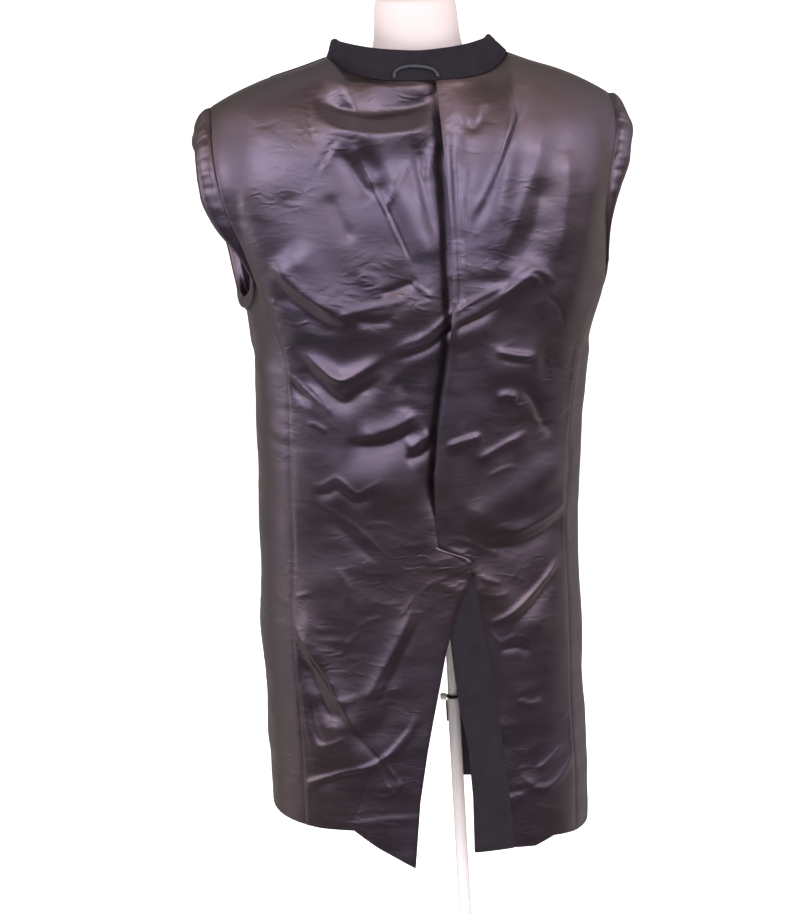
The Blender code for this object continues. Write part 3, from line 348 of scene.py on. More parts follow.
def through(rows, places):
    """Smooth curve through a table whose first column is the place; one row for each place asked."""
    data = np.array(rows, float)
    keys = data[:, 0]
    values = data[:, 1:]
    slopes = np.gradient(values, keys, axis=0)
    place = np.clip(np.atleast_1d(places), keys[0], keys[-1])
    i = np.clip(np.searchsorted(keys, place) - 1, 0, len(keys) - 2)
    span = (keys[i + 1] - keys[i])[:, None]
    t = (place - keys[i])[:, None] / span
    return blend(t, span, values[i], slopes[i], values[i + 1], slopes[i + 1])


def along(rows, shares):
    """Smooth curve through rows that lie evenly along it, for shares from 0 to 1."""
    places = np.linspace(0.0, 1.0, len(rows))
    return through(np.column_stack([places, np.array(rows, float)]), shares)


def straight(rows, place, column):
    data = np.array(rows, float)
    return float(np.interp(place, data[:, 0], data[:, column]))


def level_section(side, z):
    """One half of a level section: x, y and the length along it, and where it turns at the side."""
    centre, half, back, front = through(SECTIONS, z)[0]
    angle = np.linspace(-0.55, math.pi + 0.35, 480)
    power = 2.0 / SECTION_POWER
    across = np.sign(np.sin(angle)) * np.abs(np.sin(angle)) ** power
    depth = np.sign(np.cos(angle)) * np.abs(np.cos(angle)) ** power
    x = centre + side * half * across
    y = np.where(depth > 0, back * depth, front * depth)
    length = np.concatenate([[0.0], np.cumsum(np.hypot(np.diff(x), np.diff(y)))])
    return x, y, length, int(np.argmax(side * x))


def length_at_back(ring, side, x):
    return float(np.interp(side * x, side * ring[0][:ring[3]], ring[2][:ring[3]]))


def length_at_front(ring, side, x):
    return float(np.interp(-side * x, -side * ring[0][ring[3]:], ring[2][ring[3]:]))


def middle_edge_x(side, z):
    """Where this half of the back ends at the middle: pleat, centre seam, then vent."""
    if z <= VENT_TOP:
        return straight(VENT, z, 1) if side > 0 else straight(VENT, z, 3) - SEAM_GAP
    if z < FLAP_TOP[-1][0] and side > 0:
        return straight(FLAP_TOP, z, 1)
    if z < FLAP_TOP[1][0]:
        return -0.0363 + 0.0378 * (z - VENT_TOP) / (FLAP_TOP[1][0] - VENT_TOP)
    fold = straight(CENTRE_BACK, z, 1)
    return fold - straight(CENTRE_BACK, z, 2) if side > 0 else fold


def level_row(side, z, stations):
    """Points of one level row at these stations, and their shares of the way round."""
    ring = level_section(side, z)
    start = length_at_back(ring, side, middle_edge_x(side, z))
    centre, half = through(SECTIONS, z)[0][:2]
    seam = length_at_back(ring, side, centre + side * SIDE_SEAM * half)
    end = length_at_front(ring, side, straight(FRONT_EDGE, z, 1 if side > 0 else 2))
    split = end - FACING_WIDTH
    back = np.interp(stations, [0, AT_NECK, AT_SHOULDER, AT_SIDE], [0.0, 0.31, 0.74, 1.0])
    front = np.interp(stations, [AT_SIDE, AT_FRONT_SHOULDER, AT_FACING], [0.0, 0.78, 1.0])
    facing = np.interp(stations, [AT_FACING, AT_ROLL, AT_EDGE], [0.0, 0.36, 1.0])
    lengths = np.where(stations <= AT_SIDE, start + (seam - start) * back,
                       np.where(stations <= AT_FACING, seam + (split - seam) * front,
                                split + (end - split) * facing))
    x, y, length, _ = ring
    points = np.stack([np.interp(lengths, length, x), np.interp(lengths, length, y), z + 0 * lengths], 1)
    return points, (lengths - start) / (end - start)


def neckline(turns):
    """Points of the back neck line; a turn runs from -90 degrees, right, to 90 degrees, left."""
    across = np.sin(turns)
    return np.stack([NECK_X + NECK_HALF * across, NECK_BACK_Y * np.cos(turns),
                     NECK_BACK_Z + NECK_RISE * across**4], -1)


def shoulder_line(side, shares):
    start = NECK_X + side * NECK_HALF
    x = start + (side * SHOULDER_X[side] - start) * shares
    return np.stack([x, 0 * x, through(SHOULDER, shares)[:, 0]], -1)


def shoulder_way(side, shares):
    low = np.maximum(shares - 0.02, 0.0)
    high = np.minimum(shares + 0.02, 1.0)
    return unit(shoulder_line(side, high) - shoulder_line(side, low))


def top_line(side, stations):
    """Where the cloth ends above at each station: the point and the way the cloth runs there."""
    points = np.zeros((len(stations), 3))
    ways = np.zeros((len(stations), 3))
    mirror = np.array([side, 1, 1])
    first = math.asin((middle_edge_x(side, 1.423) - NECK_X) / NECK_HALF)

    at = stations <= AT_NECK
    turns = first + (side * math.pi / 2 - first) * stations[at] / AT_NECK
    lean = np.sin(turns) ** 2
    points[at] = neckline(turns)
    ways[at] = np.stack([-0.05 * side * lean, -0.45 - 0.55 * lean, 0.9 - 0.88 * lean], -1)

    for low, high, sign in ((AT_NECK, AT_SHOULDER, -1.0), (AT_FRONT_SHOULDER, AT_ROLL, 1.0)):
        at = (stations > low) & (stations <= high)
        shares = (stations[at] - low) / (high - low)
        shares = shares if sign < 0 else 1.0 - shares
        points[at] = shoulder_line(side, shares)
        slope = (0.30 * shares**2 - 0.05)[:, None]
        ways[at] = shoulder_way(side, shares) * slope + np.array([0, sign, 0])

    for low, high, rows in ((AT_SHOULDER, AT_SIDE, ARMHOLE_BACK),
                            (AT_SIDE, AT_FRONT_SHOULDER, ARMHOLE_FRONT)):
        at = (stations > low) & (stations <= high)
        edge = along(rows, (stations[at] - low) / (high - low))
        points[at] = edge[:, [0 if side > 0 else 1, 2, 3]] * mirror
        ways[at] = edge[:, 4:] * mirror

    at = stations > AT_ROLL
    shares = (stations[at] - AT_ROLL) / (AT_EDGE - AT_ROLL)
    roll = along(ROLL_LINE, shares)
    fall = along(ROLL_LINE, np.minimum(shares + 0.04, 1.0)) - along(ROLL_LINE, np.maximum(shares - 0.04, 0.0))
    top = ROLL_LINE[0][2]
    low = ROLL_LINE[-1][2]
    aside = NECK_X * (roll[:, 2] - low) / (top - low)
    points[at] = roll * mirror + np.stack([aside, 0 * shares, 0 * shares], 1)
    ways[at] = np.stack([0 * shares, fall[:, 0] * CHEST_SLOPE - fall[:, 1], -fall[:, 2]], 1)
    return points, unit(ways)


def fold_height(points):
    height = np.zeros(points.shape[:-1])
    x = points[..., 0]
    z = points[..., 2]
    behind = smooth_step((points[..., 1] - 0.01) / 0.05)
    for x0, z0, x1, z1, width, rise in FOLDS:
        length2 = (x1 - x0) ** 2 + (z1 - z0) ** 2
        t = ((x - x0) * (x1 - x0) + (z - z0) * (z1 - z0)) / length2
        near = np.hypot(x - x0 - t * (x1 - x0), z - z0 - t * (z1 - z0))
        ends = smooth_step((t + 0.15) / 0.3) * smooth_step((1.15 - t) / 0.3)
        height += rise * ends * np.exp(-((near / width) ** 2))
    return height * behind


def middle_height(side, points):
    """How far the pleat and the vent lift or sink the cloth near the centre back."""
    x = points[..., 0]
    z = points[..., 2]
    fold = np.interp(z, [row[0] for row in CENTRE_BACK], [row[1] for row in CENTRE_BACK])
    pleat = smooth_step((z - 0.925) / 0.05)
    closing = 1.0 - 0.25 * smooth_step((z - 1.33) / 0.09)
    if side > 0:
        near = smooth_step(1.0 - (x - fold) / PLEAT_REACH)
        height = -PLEAT_DEPTH * pleat * closing * near**1.5
        height = height - 0.0030 * pleat * np.exp(-(((x - fold) / 0.006) ** 2))
        flap = smooth_step((z - 0.63) / 0.12) * smooth_step((0.93 - z) / 0.045)
        height = height + VENT_RISE * flap * smooth_step((fold + 0.018 - x) / 0.018)
    else:
        near = smooth_step(1.0 - (fold - x) / PLEAT_REACH)
        height = PLEAT_RISE * pleat * (1.0 - smooth_step((z - 1.36) / 0.05)) * near
        flange = smooth_step((z - 1.16) / 0.04) * smooth_step((1.37 - z) / 0.04)
        height = height + flange * (0.0022 * np.exp(-(((fold - 0.004 - x) / 0.005) ** 2))
                                    - 0.0022 * np.exp(-(((fold - 0.0125 - x) / 0.003) ** 2)))
    return np.where(points[..., 1] > 0.03, height, 0.0)


def cloth_surface(side, stations, step):
    """Smooth cloth of one half at these stations: its points and outward normals, row by row."""
    rows = []
    _, shares = level_row(side, LOW_Z - HEM_BAND, stations)
    heights = np.array(HEM[side], float)
    hem = np.interp(shares, heights[:, 0], heights[:, 1])
    count = int(round(HEM_LENGTH / step))
    for i in range(count):
        t = i / count
        points, _ = level_row(side, LOW_Z - HEM_BAND + HEM_BAND * t, stations)
        points[:, 2] = hem + (LOW_Z - hem) * t
        rows.append(points)
    for z in np.linspace(LOW_Z, BASE_Z, int(round((BASE_Z - LOW_Z) / step)) + 1):
        rows.append(level_row(side, z, stations)[0])
    base = rows[-1]
    climb = (base - level_row(side, BASE_Z - CLIMB_STEP, stations)[0]) / CLIMB_STEP
    tops, ways = top_line(side, stations)
    reach = np.linalg.norm(tops - base, axis=1, keepdims=True)
    upper = int(round(UPPER_LENGTH / step))
    for t in np.linspace(0.0, 1.0, upper + 1)[1:]:
        rows.append(blend(t, reach, base, climb, tops, ways))
    grid = np.array(rows)
    first_high = len(grid) - upper
    share = np.linspace(0.0, 1.0, len(grid) - first_high + 1)[1:]
    ease = (0.5 * smooth_step((1.0 - share) / 0.22) * smooth_step(share / 0.25))[:, None, None]
    for _ in range(EASE_ROUNDS):
        high = grid[first_high:]
        middle = (high[:, :-2] + high[:, 2:]) / 2
        high[:, 1:-1] += ease * (middle - high[:, 1:-1])
    rise = np.gradient(grid, axis=0)
    rise[-1] = ways * 0.001
    around = np.gradient(grid, axis=1)
    normals = unit(np.cross(unit(rise), unit(around))) * side
    low = int(np.argmax(grid[:, 0, 2] > VENT_TOP - VENT_MARGIN)) - 1
    high = int(np.argmax(grid[:, 0, 2] > FLAP_TOP[-1][0] + VENT_MARGIN)) + 1
    for i in range(low + 1, high):
        share = (i - low) / (high - low)
        normals[i] = unit(normals[low] * (1 - share) + normals[high] * share)
    grid = grid + normals * (fold_height(grid) + middle_height(side, grid))[..., None]
    return grid, normals


def crease_height(table, across, z):
    """How far the creases of a table lift the cloth. Places are in centimetres, heights in metres."""
    height = np.zeros(across.shape)
    for rise, above, below, *way in table:
        way = np.array(way, float)
        line = along(way, np.linspace(0.0, 1.0, 4 * len(way)))
        reach = 0.25 * max(above, below)
        box = ((across > line[:, 0].min() - reach) & (across < line[:, 0].max() + reach)
               & (z > line[:, 1].min() - reach) & (z < line[:, 1].max() + reach))
        if not box.any():
            continue
        x = across[box]
        y = z[box]
        best = np.full(x.shape, 1e9)
        side_of = np.zeros(x.shape)
        place = np.zeros(x.shape)
        lengths = np.concatenate([[0.0], np.cumsum(np.hypot(*np.diff(line, axis=0).T))])
        ways = line[-1] - line[0]
        lying = abs(ways[0]) >= abs(ways[1]) * 0.45
        for i in range(len(line) - 1):
            dx, dy = line[i + 1] - line[i]
            span = dx * dx + dy * dy
            t = np.clip(((x - line[i, 0]) * dx + (y - line[i, 1]) * dy) / span, 0.0, 1.0)
            ox = x - line[i, 0] - t * dx
            oy = y - line[i, 1] - t * dy
            far = np.hypot(ox, oy)
            nearer = far < best
            best = np.where(nearer, far, best)
            if lying:
                towards = oy * abs(dx) - ox * dy * np.sign(dx)
            else:
                towards = ox * abs(dy) - oy * dx * np.sign(dy)
            side_of = np.where(nearer, towards, side_of)
            place = np.where(nearer, lengths[i] + t * (lengths[i + 1] - lengths[i]), place)
        share = place / lengths[-1]
        narrow, sharp, lift = THIN if max(above, below) <= THIN_CREASE else BROAD
        width = np.where(side_of > 0, above, below) / 10.0 * narrow
        taper = smooth_step(share / TAPER + 0.1) * smooth_step((1.0 - share) / TAPER + 0.1)
        crest = np.exp(-((best / width) ** sharp))
        height[box] += lift * rise / 1000.0 * taper * crest
    return height


def small_creases(seed, count, low, high, tilt):
    """A table of short faint creases, scattered unevenly over a stretch of cloth."""
    chance = np.random.RandomState(seed)
    table = []
    for _ in range(count):
        x = chance.uniform(low[0], high[0])
        z = chance.uniform(low[1], high[1])
        turn = math.radians(chance.normal(tilt, 26))
        length = chance.uniform(1.6, 5.5)
        bow = chance.normal(0, 0.12) * length
        end = (x + math.cos(turn) * length, z + math.sin(turn) * length)
        middle = ((x + end[0]) / 2 - math.sin(turn) * bow, (z + end[1]) / 2 + math.cos(turn) * bow)
        rise = chance.uniform(0.25, 0.8) * chance.choice([1, 1, -1])
        table.append((rise, chance.uniform(1.6, 3.5), chance.uniform(1.6, 3.5), (x, z), middle, end))
    return table


def slow_swell(seed, across, z, pitch):
    """Broad soft unevenness, between -1 and 1, with its hills about a pitch apart."""
    chance = np.random.RandomState(seed)
    grid = chance.uniform(-1, 1, (64, 64))
    u = across / pitch + 20.0
    v = z / pitch
    i = np.floor(u).astype(int)
    j = np.floor(v).astype(int)
    s = smooth_step(u - i)
    t = smooth_step(v - j)
    i %= 63
    j %= 63
    return (grid[i, j] * (1 - s) * (1 - t) + grid[i + 1, j] * s * (1 - t)
            + grid[i, j + 1] * (1 - s) * t + grid[i + 1, j + 1] * s * t)


def row_reach(grid):
    """Distance of each point from the first and the last point of its row."""
    steps = np.linalg.norm(np.diff(grid, axis=1), axis=2)
    start = np.concatenate([np.zeros((len(grid), 1)), np.cumsum(steps, axis=1)], axis=1)
    return start, start[:, -1:] - start


def seam_dip(distance, depth=0.0011, width=0.0030):
    return -depth * np.exp(-((distance / width) ** 2))


def sheet_mesh(name, outer, inner, materials, closed=False):
    """A thin closed wall from its outer and inner points. The second material is the inner face's."""
    rows, columns = outer.shape[:2]
    count = rows * columns
    index = np.arange(count).reshape(rows, columns)
    if closed:
        index = np.concatenate([index, index[:, :1]], axis=1)
    a, b, c, d = index[:-1, :-1], index[:-1, 1:], index[1:, 1:], index[1:, :-1]
    faces = [np.stack([a, b, c, d], -1).reshape(-1, 4)]
    faces.append(np.stack([a, d, c, b], -1).reshape(-1, 4) + count)
    low, high = index[0], index[-1]
    faces.append(np.stack([low[:-1], low[:-1] + count, low[1:] + count, low[1:]], -1))
    faces.append(np.stack([high[:-1], high[1:], high[1:] + count, high[:-1] + count], -1))
    if not closed:
        left, right = index[:, 0], index[:, -1]
        faces.append(np.stack([left[:-1], left[1:], left[1:] + count, left[:-1] + count], -1))
        faces.append(np.stack([right[:-1], right[:-1] + count, right[1:] + count, right[1:]], -1))
    slots = np.concatenate([[0 if i == 0 else 1] * len(part) for i, part in enumerate(faces)])
    points = np.concatenate([outer.reshape(-1, 3), inner.reshape(-1, 3)])
    mesh = bpy.data.meshes.new(name)
    mesh.from_pydata(points.tolist(), [], np.concatenate(faces).tolist())
    for material in materials:
        mesh.materials.append(material)
    if len(materials) > 1:
        mesh.polygons.foreach_set("material_index", slots.astype(np.int32))
    mesh.polygons.foreach_set("use_smooth", [True] * len(mesh.polygons))
    work = bmesh.new()
    work.from_mesh(mesh)
    if work.calc_volume(signed=True) < 0:
        bmesh.ops.reverse_faces(work, faces=work.faces)
    work.to_mesh(mesh)
    work.free()
    mesh.set_sharp_from_angle(angle=math.radians(60))
    piece = bpy.data.objects.new(name, mesh)
    bpy.context.scene.collection.objects.link(piece)
    return piece


def take_place(piece, node):
    """Lets a piece ride on the part's one body, in the place of its solid."""
    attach(piece, "root")
    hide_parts(node)


def hex_colour(code):
    """An sRGB hex colour as linear red, green, blue and alpha."""
    parts = [int(code[i:i + 2], 16) / 255 for i in (1, 3, 5)]
    return tuple(c / 12.92 if c <= 0.04045 else ((c + 0.055) / 1.055) ** 2.4 for c in parts) + (1.0,)


def feed(tree, node, inputs):
    """Sets a node's inputs. Each is a value, or a socket that feeds it."""
    for name, value in inputs.items():
        if isinstance(value, bpy.types.NodeSocket):
            tree.links.new(value, node.inputs[name])
        else:
            node.inputs[name].default_value = value


def put(tree, kind, options=None, inputs=None):
    """Adds a node. Options are its own settings."""
    made = tree.nodes.new(kind)
    for name, value in (options or {}).items():
        setattr(made, name, value)
    feed(tree, made, inputs or {})
    return made


def noise(tree, place, scale, options=None, **inputs):
    named = {name.title(): value for name, value in inputs.items()}
    return put(tree, "ShaderNodeTexNoise", options, {"Vector": place, "Scale": scale, **named}).outputs["Fac"]


def mapped(tree, place, scale, turn=0.0):
    """Places scaled along each axis, and turned about Y by degrees."""
    return put(tree, "ShaderNodeMapping", None, {
        "Vector": place, "Scale": scale, "Rotation": (0.0, math.radians(turn), 0.0)}).outputs["Vector"]


def ranged(tree, value, low, high, to_low=0.0, to_high=1.0):
    return put(tree, "ShaderNodeMapRange", None, {
        "Value": value, "From Min": low, "From Max": high,
        "To Min": to_low, "To Max": to_high}).outputs["Result"]


def bump(tree, height, strength, distance, under=None):
    """Relief from a height, on top of the relief under it."""
    inputs = {"Height": height, "Strength": strength, "Distance": distance}
    if under is not None:
        inputs["Normal"] = under
    return put(tree, "ShaderNodeBump", None, inputs).outputs["Normal"]


def two_colours(tree, factor, low, high):
    """A ramp between two colours, each given with its place."""
    ramp = put(tree, "ShaderNodeValToRGB", inputs={"Fac": factor})
    for element, (place, code) in zip(ramp.color_ramp.elements, (low, high)):
        element.position = place
        element.color = hex_colour(code)
    return ramp.outputs["Color"]


def start_material(name):
    material = bpy.data.materials.new(name)
    material.use_nodes = True
    tree = material.node_tree
    return material, tree, tree.nodes["Principled BSDF"], put(tree, "ShaderNodeTexCoord").outputs["Object"]


# Acetate satin, woven with long floats: dark aubergine thread that shines violet on the face. Its base
# colour turns brown where the cloth is seen at a grazing angle: a painted sheen. Fine drag lines run
# across the cloth, and small sharp wrinkles lie over all of it, stronger in some places than in others.
satin, tree, shader, place = start_material("acetate_satin_lining")
patches = noise(tree, place, 4.0, detail=3.0)
# Painted sheen: the base colour turns brown where the cloth is seen at a grazing angle.
grazing = put(tree, "ShaderNodeLayerWeight", inputs={"Blend": 0.42})
brown_grazing_sheen = put(tree, "ShaderNodeMix", {"data_type": "RGBA"}, {
    "Factor": grazing.outputs["Facing"], "B": hex_colour("#54443e"),
    "A": two_colours(tree, patches, (0.36, "#5b5460"), (0.66, "#615557"))})
drawn = mapped(tree, place, (9.0, 9.0, 22.0), 14)
drag = noise(tree, drawn, 1.8, detail=5.0, roughness=0.6, distortion=0.6)
thread = noise(tree, place, 420.0, detail=1.0)
RIDGED = {"noise_type": "RIDGED_MULTIFRACTAL", "normalize": True}
leaning = mapped(tree, place, (5.0, 5.0, 13.0), -24)
sharp = noise(tree, leaning, 2.2, RIDGED, detail=3.0, roughness=0.55, lacunarity=2.1, distortion=0.5)
where = noise(tree, place, 6.5, detail=1.0)
some = ranged(tree, where, 0.42, 0.66, 0.04, 1.0)
wrinkle = bump(tree, sharp, some, 0.0050)
crossing = mapped(tree, place, (12.0, 12.0, 26.0), 33)
thin = noise(tree, crossing, 3.6, RIDGED, detail=2.0, roughness=0.5, lacunarity=2.3, distortion=0.8)
lines = bump(tree, thin, some, 0.0010, wrinkle)
soft = bump(tree, drag, 0.22, 0.0020, lines)
feed(tree, shader, {
    "Base Color": brown_grazing_sheen.outputs["Result"], "Roughness": ranged(tree, drag, 0.3, 0.7, 0.30, 0.44),
    "Normal": bump(tree, thread, 0.10, 0.0004, soft), "Metallic": 0.93, "IOR": 1.5,
    "Sheen Weight": 0.08, "Sheen Roughness": 0.35, "Sheen Tint": hex_colour("#8a6a5c")})

# Milled wool coating: near-black with a trace of violet. The nap hides most of the twill under it,
# so the cloth is dull all over, a little paler at grazing angles.
wool, tree, shader, place = start_material("milled_wool_cloth")
mottle = noise(tree, place, 60.0, detail=5.0)
nap = noise(tree, place, 900.0, detail=2.0)
turned = mapped(tree, place, (1.0, 1.0, 1.0), 45)
twill = put(tree, "ShaderNodeTexWave", {"bands_direction": "X"},
            {"Vector": turned, "Scale": 0.314 / WOOL_TWILL, "Distortion": 1.5})
rough = bump(tree, twill.outputs["Fac"], 0.12, 0.0004)
feed(tree, shader, {
    "Base Color": two_colours(tree, mottle, (0.3, "#211e22"), (0.75, "#262227")),
    "Normal": bump(tree, nap, 0.35, 0.0005, rough), "Roughness": 0.95, "Specular IOR Level": 0.15,
    "Sheen Weight": 0.10, "Sheen Roughness": 0.5, "Sheen Tint": hex_colour("#6b6270")})


SMALL_CREASES = 150      # scattered on each half of the coat
CALM_EDGE = 0.012        # creases die out this near a cut edge


def stations_between(low, high, per_step):
    return np.linspace(low, high, int(round((high - low) * per_step)) + 1)


def body_panel(name, node, side, stations, step, back):
    """One cut panel of the coat: lining outside, wool inside, edges turned in at the seams."""
    grid, normals = cloth_surface(side, stations, step)
    around = np.degrees(np.arctan2(grid[..., 0], grid[..., 1])) / 4.0
    if back:
        behind = smooth_step((grid[..., 1] - 0.0) / 0.05)
        height = crease_height(BACK_CREASES, grid[..., 0] * 100, grid[..., 2] * 100) * behind
    else:
        height = crease_height(FRONT_CREASES[side], abs(around), grid[..., 2] * 100)
    small = small_creases(11 if side > 0 else 12, SMALL_CREASES, (-45, 54), (45, 143), 8)
    height += crease_height(small, around, grid[..., 2] * 100)
    height *= 0.60 + 0.40 * smooth_step((grid[..., 2] - 0.90) / 0.14)
    height += 0.0016 * slow_swell(3, around, grid[..., 2] * 100, 6.5)
    height += 0.0006 * slow_swell(5, around, grid[..., 2] * 100, 2.4)
    first, last = row_reach(grid)
    top = np.linspace(1, 0, len(grid))[:, None] * (grid[-1, :, 2] - grid[0, :, 2])[None, :]
    calm = smooth_step(first / CALM_EDGE) * smooth_step(last / CALM_EDGE) * smooth_step(top / CALM_EDGE)
    height = height * (0.02 + 0.98 * calm)
    stray = 0.0016 * slow_swell(6, 0 * around, grid[..., 2] * 100, 5.0)
    height += seam_dip(np.abs(last - 0.0012 - stray), 0.0006, 0.0026) + seam_dip(top)
    height += seam_dip(first, 0.0009 if back else 0.0004, 0.0022)
    outer = grid + normals * height[..., None]
    inner = outer - normals * WALL
    piece = sheet_mesh(name, outer, inner, [satin, wool])
    take_place(piece, node)
    return grid, normals


back_stations = np.concatenate([
    stations_between(0, AT_NECK, 8)[:-1],
    stations_between(AT_NECK, AT_SHOULDER, 10)[:-1],
    stations_between(AT_SHOULDER, AT_SIDE, 4),
])
for side, word, area in ((1, "left", 0.194), (-1, "right", 0.159)):
    body_panel(f"coat_back_{word}", f"back_{word}", side, back_stations, 0.0022, True)

# Fronts with their sides: wool with the satin lining outside, as the back. Each is cut in one piece and
# sewn to the back at the side seam. They hang open, and end at the front facings.
FRONT_CREASES = {
    # as in the back's table, but across is the angle from the middle of the back, in units of 4 degrees
    1: [
        (3.0, 12, 8, (23.0, 118.0), (26.0, 112.0), (30.0, 108.5), (34.0, 107.5)),
        (-2.6, 8, 12, (22.5, 113.0), (27.0, 107.0), (32.0, 104.0)),
        (2.4, 8, 6, (36.5, 101.0), (32.0, 103.0), (27.5, 106.5), (24.0, 111.5)),
        (1.8, 3, 4, (25.5, 104.0), (28.5, 101.0), (31.5, 100.0)),
        (2.6, 10, 7, (24.0, 96.0), (28.0, 93.5), (33.0, 95.0), (36.0, 97.5)),
        (-2.0, 6, 9, (25.0, 93.0), (29.5, 90.5), (34.5, 92.0)),
        (2.2, 12, 12, (27.0, 88.0), (27.8, 80.0), (28.2, 70.0), (28.0, 60.0)),
        (-2.0, 12, 10, (31.5, 90.0), (32.0, 80.0), (32.6, 68.0)),
        (2.0, 12, 12, (35.2, 86.0), (35.6, 74.0), (36.2, 62.0)),
        (1.6, 3, 3.5, (24.0, 82.0), (26.5, 79.5), (29.5, 79.0)),
        (1.8, 3, 4, (30.0, 73.0), (33.0, 75.5), (35.5, 79.0)),
        (1.5, 3, 3, (25.0, 66.0), (28.0, 68.0), (31.0, 67.0)),
        (2.4, 8, 6, (37.0, 128.0), (34.0, 124.0), (31.5, 119.0)),
        (1.8, 4, 3, (29.5, 122.0), (32.0, 120.0), (35.5, 120.5)),
        (1.6, 3, 3, (27.5, 116.0), (30.0, 117.0), (33.0, 116.0)),
    ],
    -1: [
        (3.0, 10, 9, (22.6, 121.0), (25.0, 115.0), (29.5, 110.0), (35.0, 109.0)),
        (-2.4, 8, 10, (22.5, 115.5), (26.5, 108.5), (31.0, 105.5)),
        (2.2, 3.5, 5, (35.0, 112.5), (31.5, 113.5), (28.5, 112.5)),
        (2.6, 9, 7, (24.5, 101.0), (28.5, 98.0), (34.0, 99.5)),
        (-2.2, 8, 8, (23.5, 97.5), (28.0, 94.0), (32.5, 95.0)),
        (1.6, 3, 3.5, (29.0, 91.5), (31.5, 93.0), (34.5, 92.0)),
        (2.2, 11, 13, (25.6, 90.0), (26.0, 78.0), (26.8, 64.0)),
        (-2.2, 12, 12, (29.8, 88.0), (30.2, 76.0), (30.0, 62.0)),
        (2.0, 12, 10, (34.0, 87.0), (34.0, 77.0), (35.0, 64.0)),
        (1.8, 3, 4, (26.5, 84.0), (29.0, 82.5), (31.0, 83.0)),
        (1.6, 3, 3, (31.5, 69.0), (34.0, 70.5), (36.5, 69.5)),
        (1.5, 2.6, 3.5, (23.5, 71.0), (26.0, 73.5), (27.5, 77.0)),
        (2.2, 7, 8, (36.0, 131.0), (33.5, 126.5), (31.5, 121.5)),
        (1.7, 3, 4, (30.0, 118.0), (33.0, 117.0), (36.0, 118.5)),
    ],
}
front_stations = np.concatenate([
    stations_between(AT_SIDE, AT_FRONT_SHOULDER, 5)[:-1],
    stations_between(AT_FRONT_SHOULDER, AT_FACING, 8),
])
for side, word, area in ((1, "left", 0.171), (-1, "right", 0.163)):
    body_panel(f"coat_front_{word}", f"front_{word}", side, front_stations, 0.0035, False)

# Front facings: wool, cut with the front edge. They show their face, because the coat is inside out.
# Each goes on upwards into a lapel, which is rolled to the inside and lies behind the facing.
def facing_swell(side, grid):
    return 0.0010 * slow_swell(8 + side, grid[..., 0] * 100, grid[..., 2] * 100, 7.0)


for side, word in ((1, "left"), (-1, "right")):
    grid, normals = cloth_surface(side, stations_between(AT_FACING, AT_EDGE, 6), 0.005)
    first, last = row_reach(grid)
    outer = grid + normals * (facing_swell(side, grid) + seam_dip(first))[..., None]
    inner = outer - normals * WALL
    facing = sheet_mesh(f"coat_facing_{word}", outer, inner, [wool])
    grid, normals = cloth_surface(side, stations_between(33, AT_EDGE, 7), 0.004)
    grid = grid[-50:]
    normals = normals[-50:]
    outer = grid + normals * (facing_swell(side, grid) - WALL - 0.0008)[..., None]
    lapel = sheet_mesh(f"coat_lapel_{word}", outer, outer - normals * WALL, [wool])
    for piece, node, flat, area in ((facing, f"facing_{word}", (0.16, 0.90), 0.084),
                                    (lapel, f"lapel_{word}", (0.05, 0.22), 0.0060)):
        take_place(piece, node)

# Facing of the back vent's right flap: wool, from the flap's free edge to the seam of the lining.
# It lies flat and smooth, because it is much stiffer than the satin.
FACING_TOP = 0.8655
rows = []
levels = np.concatenate([np.linspace(LOW_Z - HEM_BAND, LOW_Z, 18)[:-1], np.linspace(LOW_Z, FACING_TOP, 90)])
for z in levels:
    ring = level_section(-1, z)
    free = length_at_back(ring, -1, straight(VENT, z, 2))
    seam = length_at_back(ring, -1, straight(VENT, z, 3) - SEAM_GAP)
    lengths = np.linspace(free, seam, 25)
    height = z if z >= LOW_Z else LOW_Z - (LOW_Z - z) / HEM_BAND * (LOW_Z - HEM[-1][0][1])
    rows.append(np.stack([np.interp(lengths, ring[2], ring[0]), np.interp(lengths, ring[2], ring[1]),
                          height + 0 * lengths], 1))
grid = np.array(rows)
normals = unit(np.cross(np.gradient(grid, axis=1), np.gradient(grid, axis=0)))
first, last = row_reach(grid)
height = (fold_height(grid) + middle_height(-1, grid) + seam_dip(last)
          - 0.0010 * smooth_step(1 - first / 0.004))
height += 0.0007 * slow_swell(21, grid[..., 0] * 100, grid[..., 2] * 100, 8.0)
outer = grid + normals * height[..., None]
vent_facing = sheet_mesh("vent_facing_wool", outer, outer - normals * WALL, [wool])
take_place(vent_facing, "vent_facing")

# Sleeves: the head is eased into the armhole, so it puckers, and rolls over into the hole. The rest of
# the sleeve isn't pulled through: it hangs inside the coat, the satin on the inside of its tube.
SLEEVE_ROLL = [
    # outwards, towards the middle of the hole
    (0.0085, 0.0010),
    (0.0170, 0.0040),
    (0.0225, 0.0100),
    (0.0230, 0.0180),
    (0.0180, 0.0250),
    (0.0090, 0.0290),
]
SLEEVE_RINGS = [
    # x and z over the arm, x and z under the arm, half depth
    (0.2110, 1.325, 0.1910, 1.168, 0.044),
    (0.2000, 1.285, 0.1870, 1.152, 0.048),
    (0.1880, 1.235, 0.1845, 1.130, 0.053),
    (0.1770, 1.175, 0.1825, 1.098, 0.059),
    (0.1690, 1.105, 0.1795, 1.050, 0.063),
    (0.1645, 1.015, 0.1765, 0.990, 0.064),
    (0.1635, 0.910, 0.1755, 0.900, 0.063),
    (0.1635, 0.805, 0.1760, 0.803, 0.061),
    (0.1635, 0.715, 0.1765, 0.715, 0.058),
]
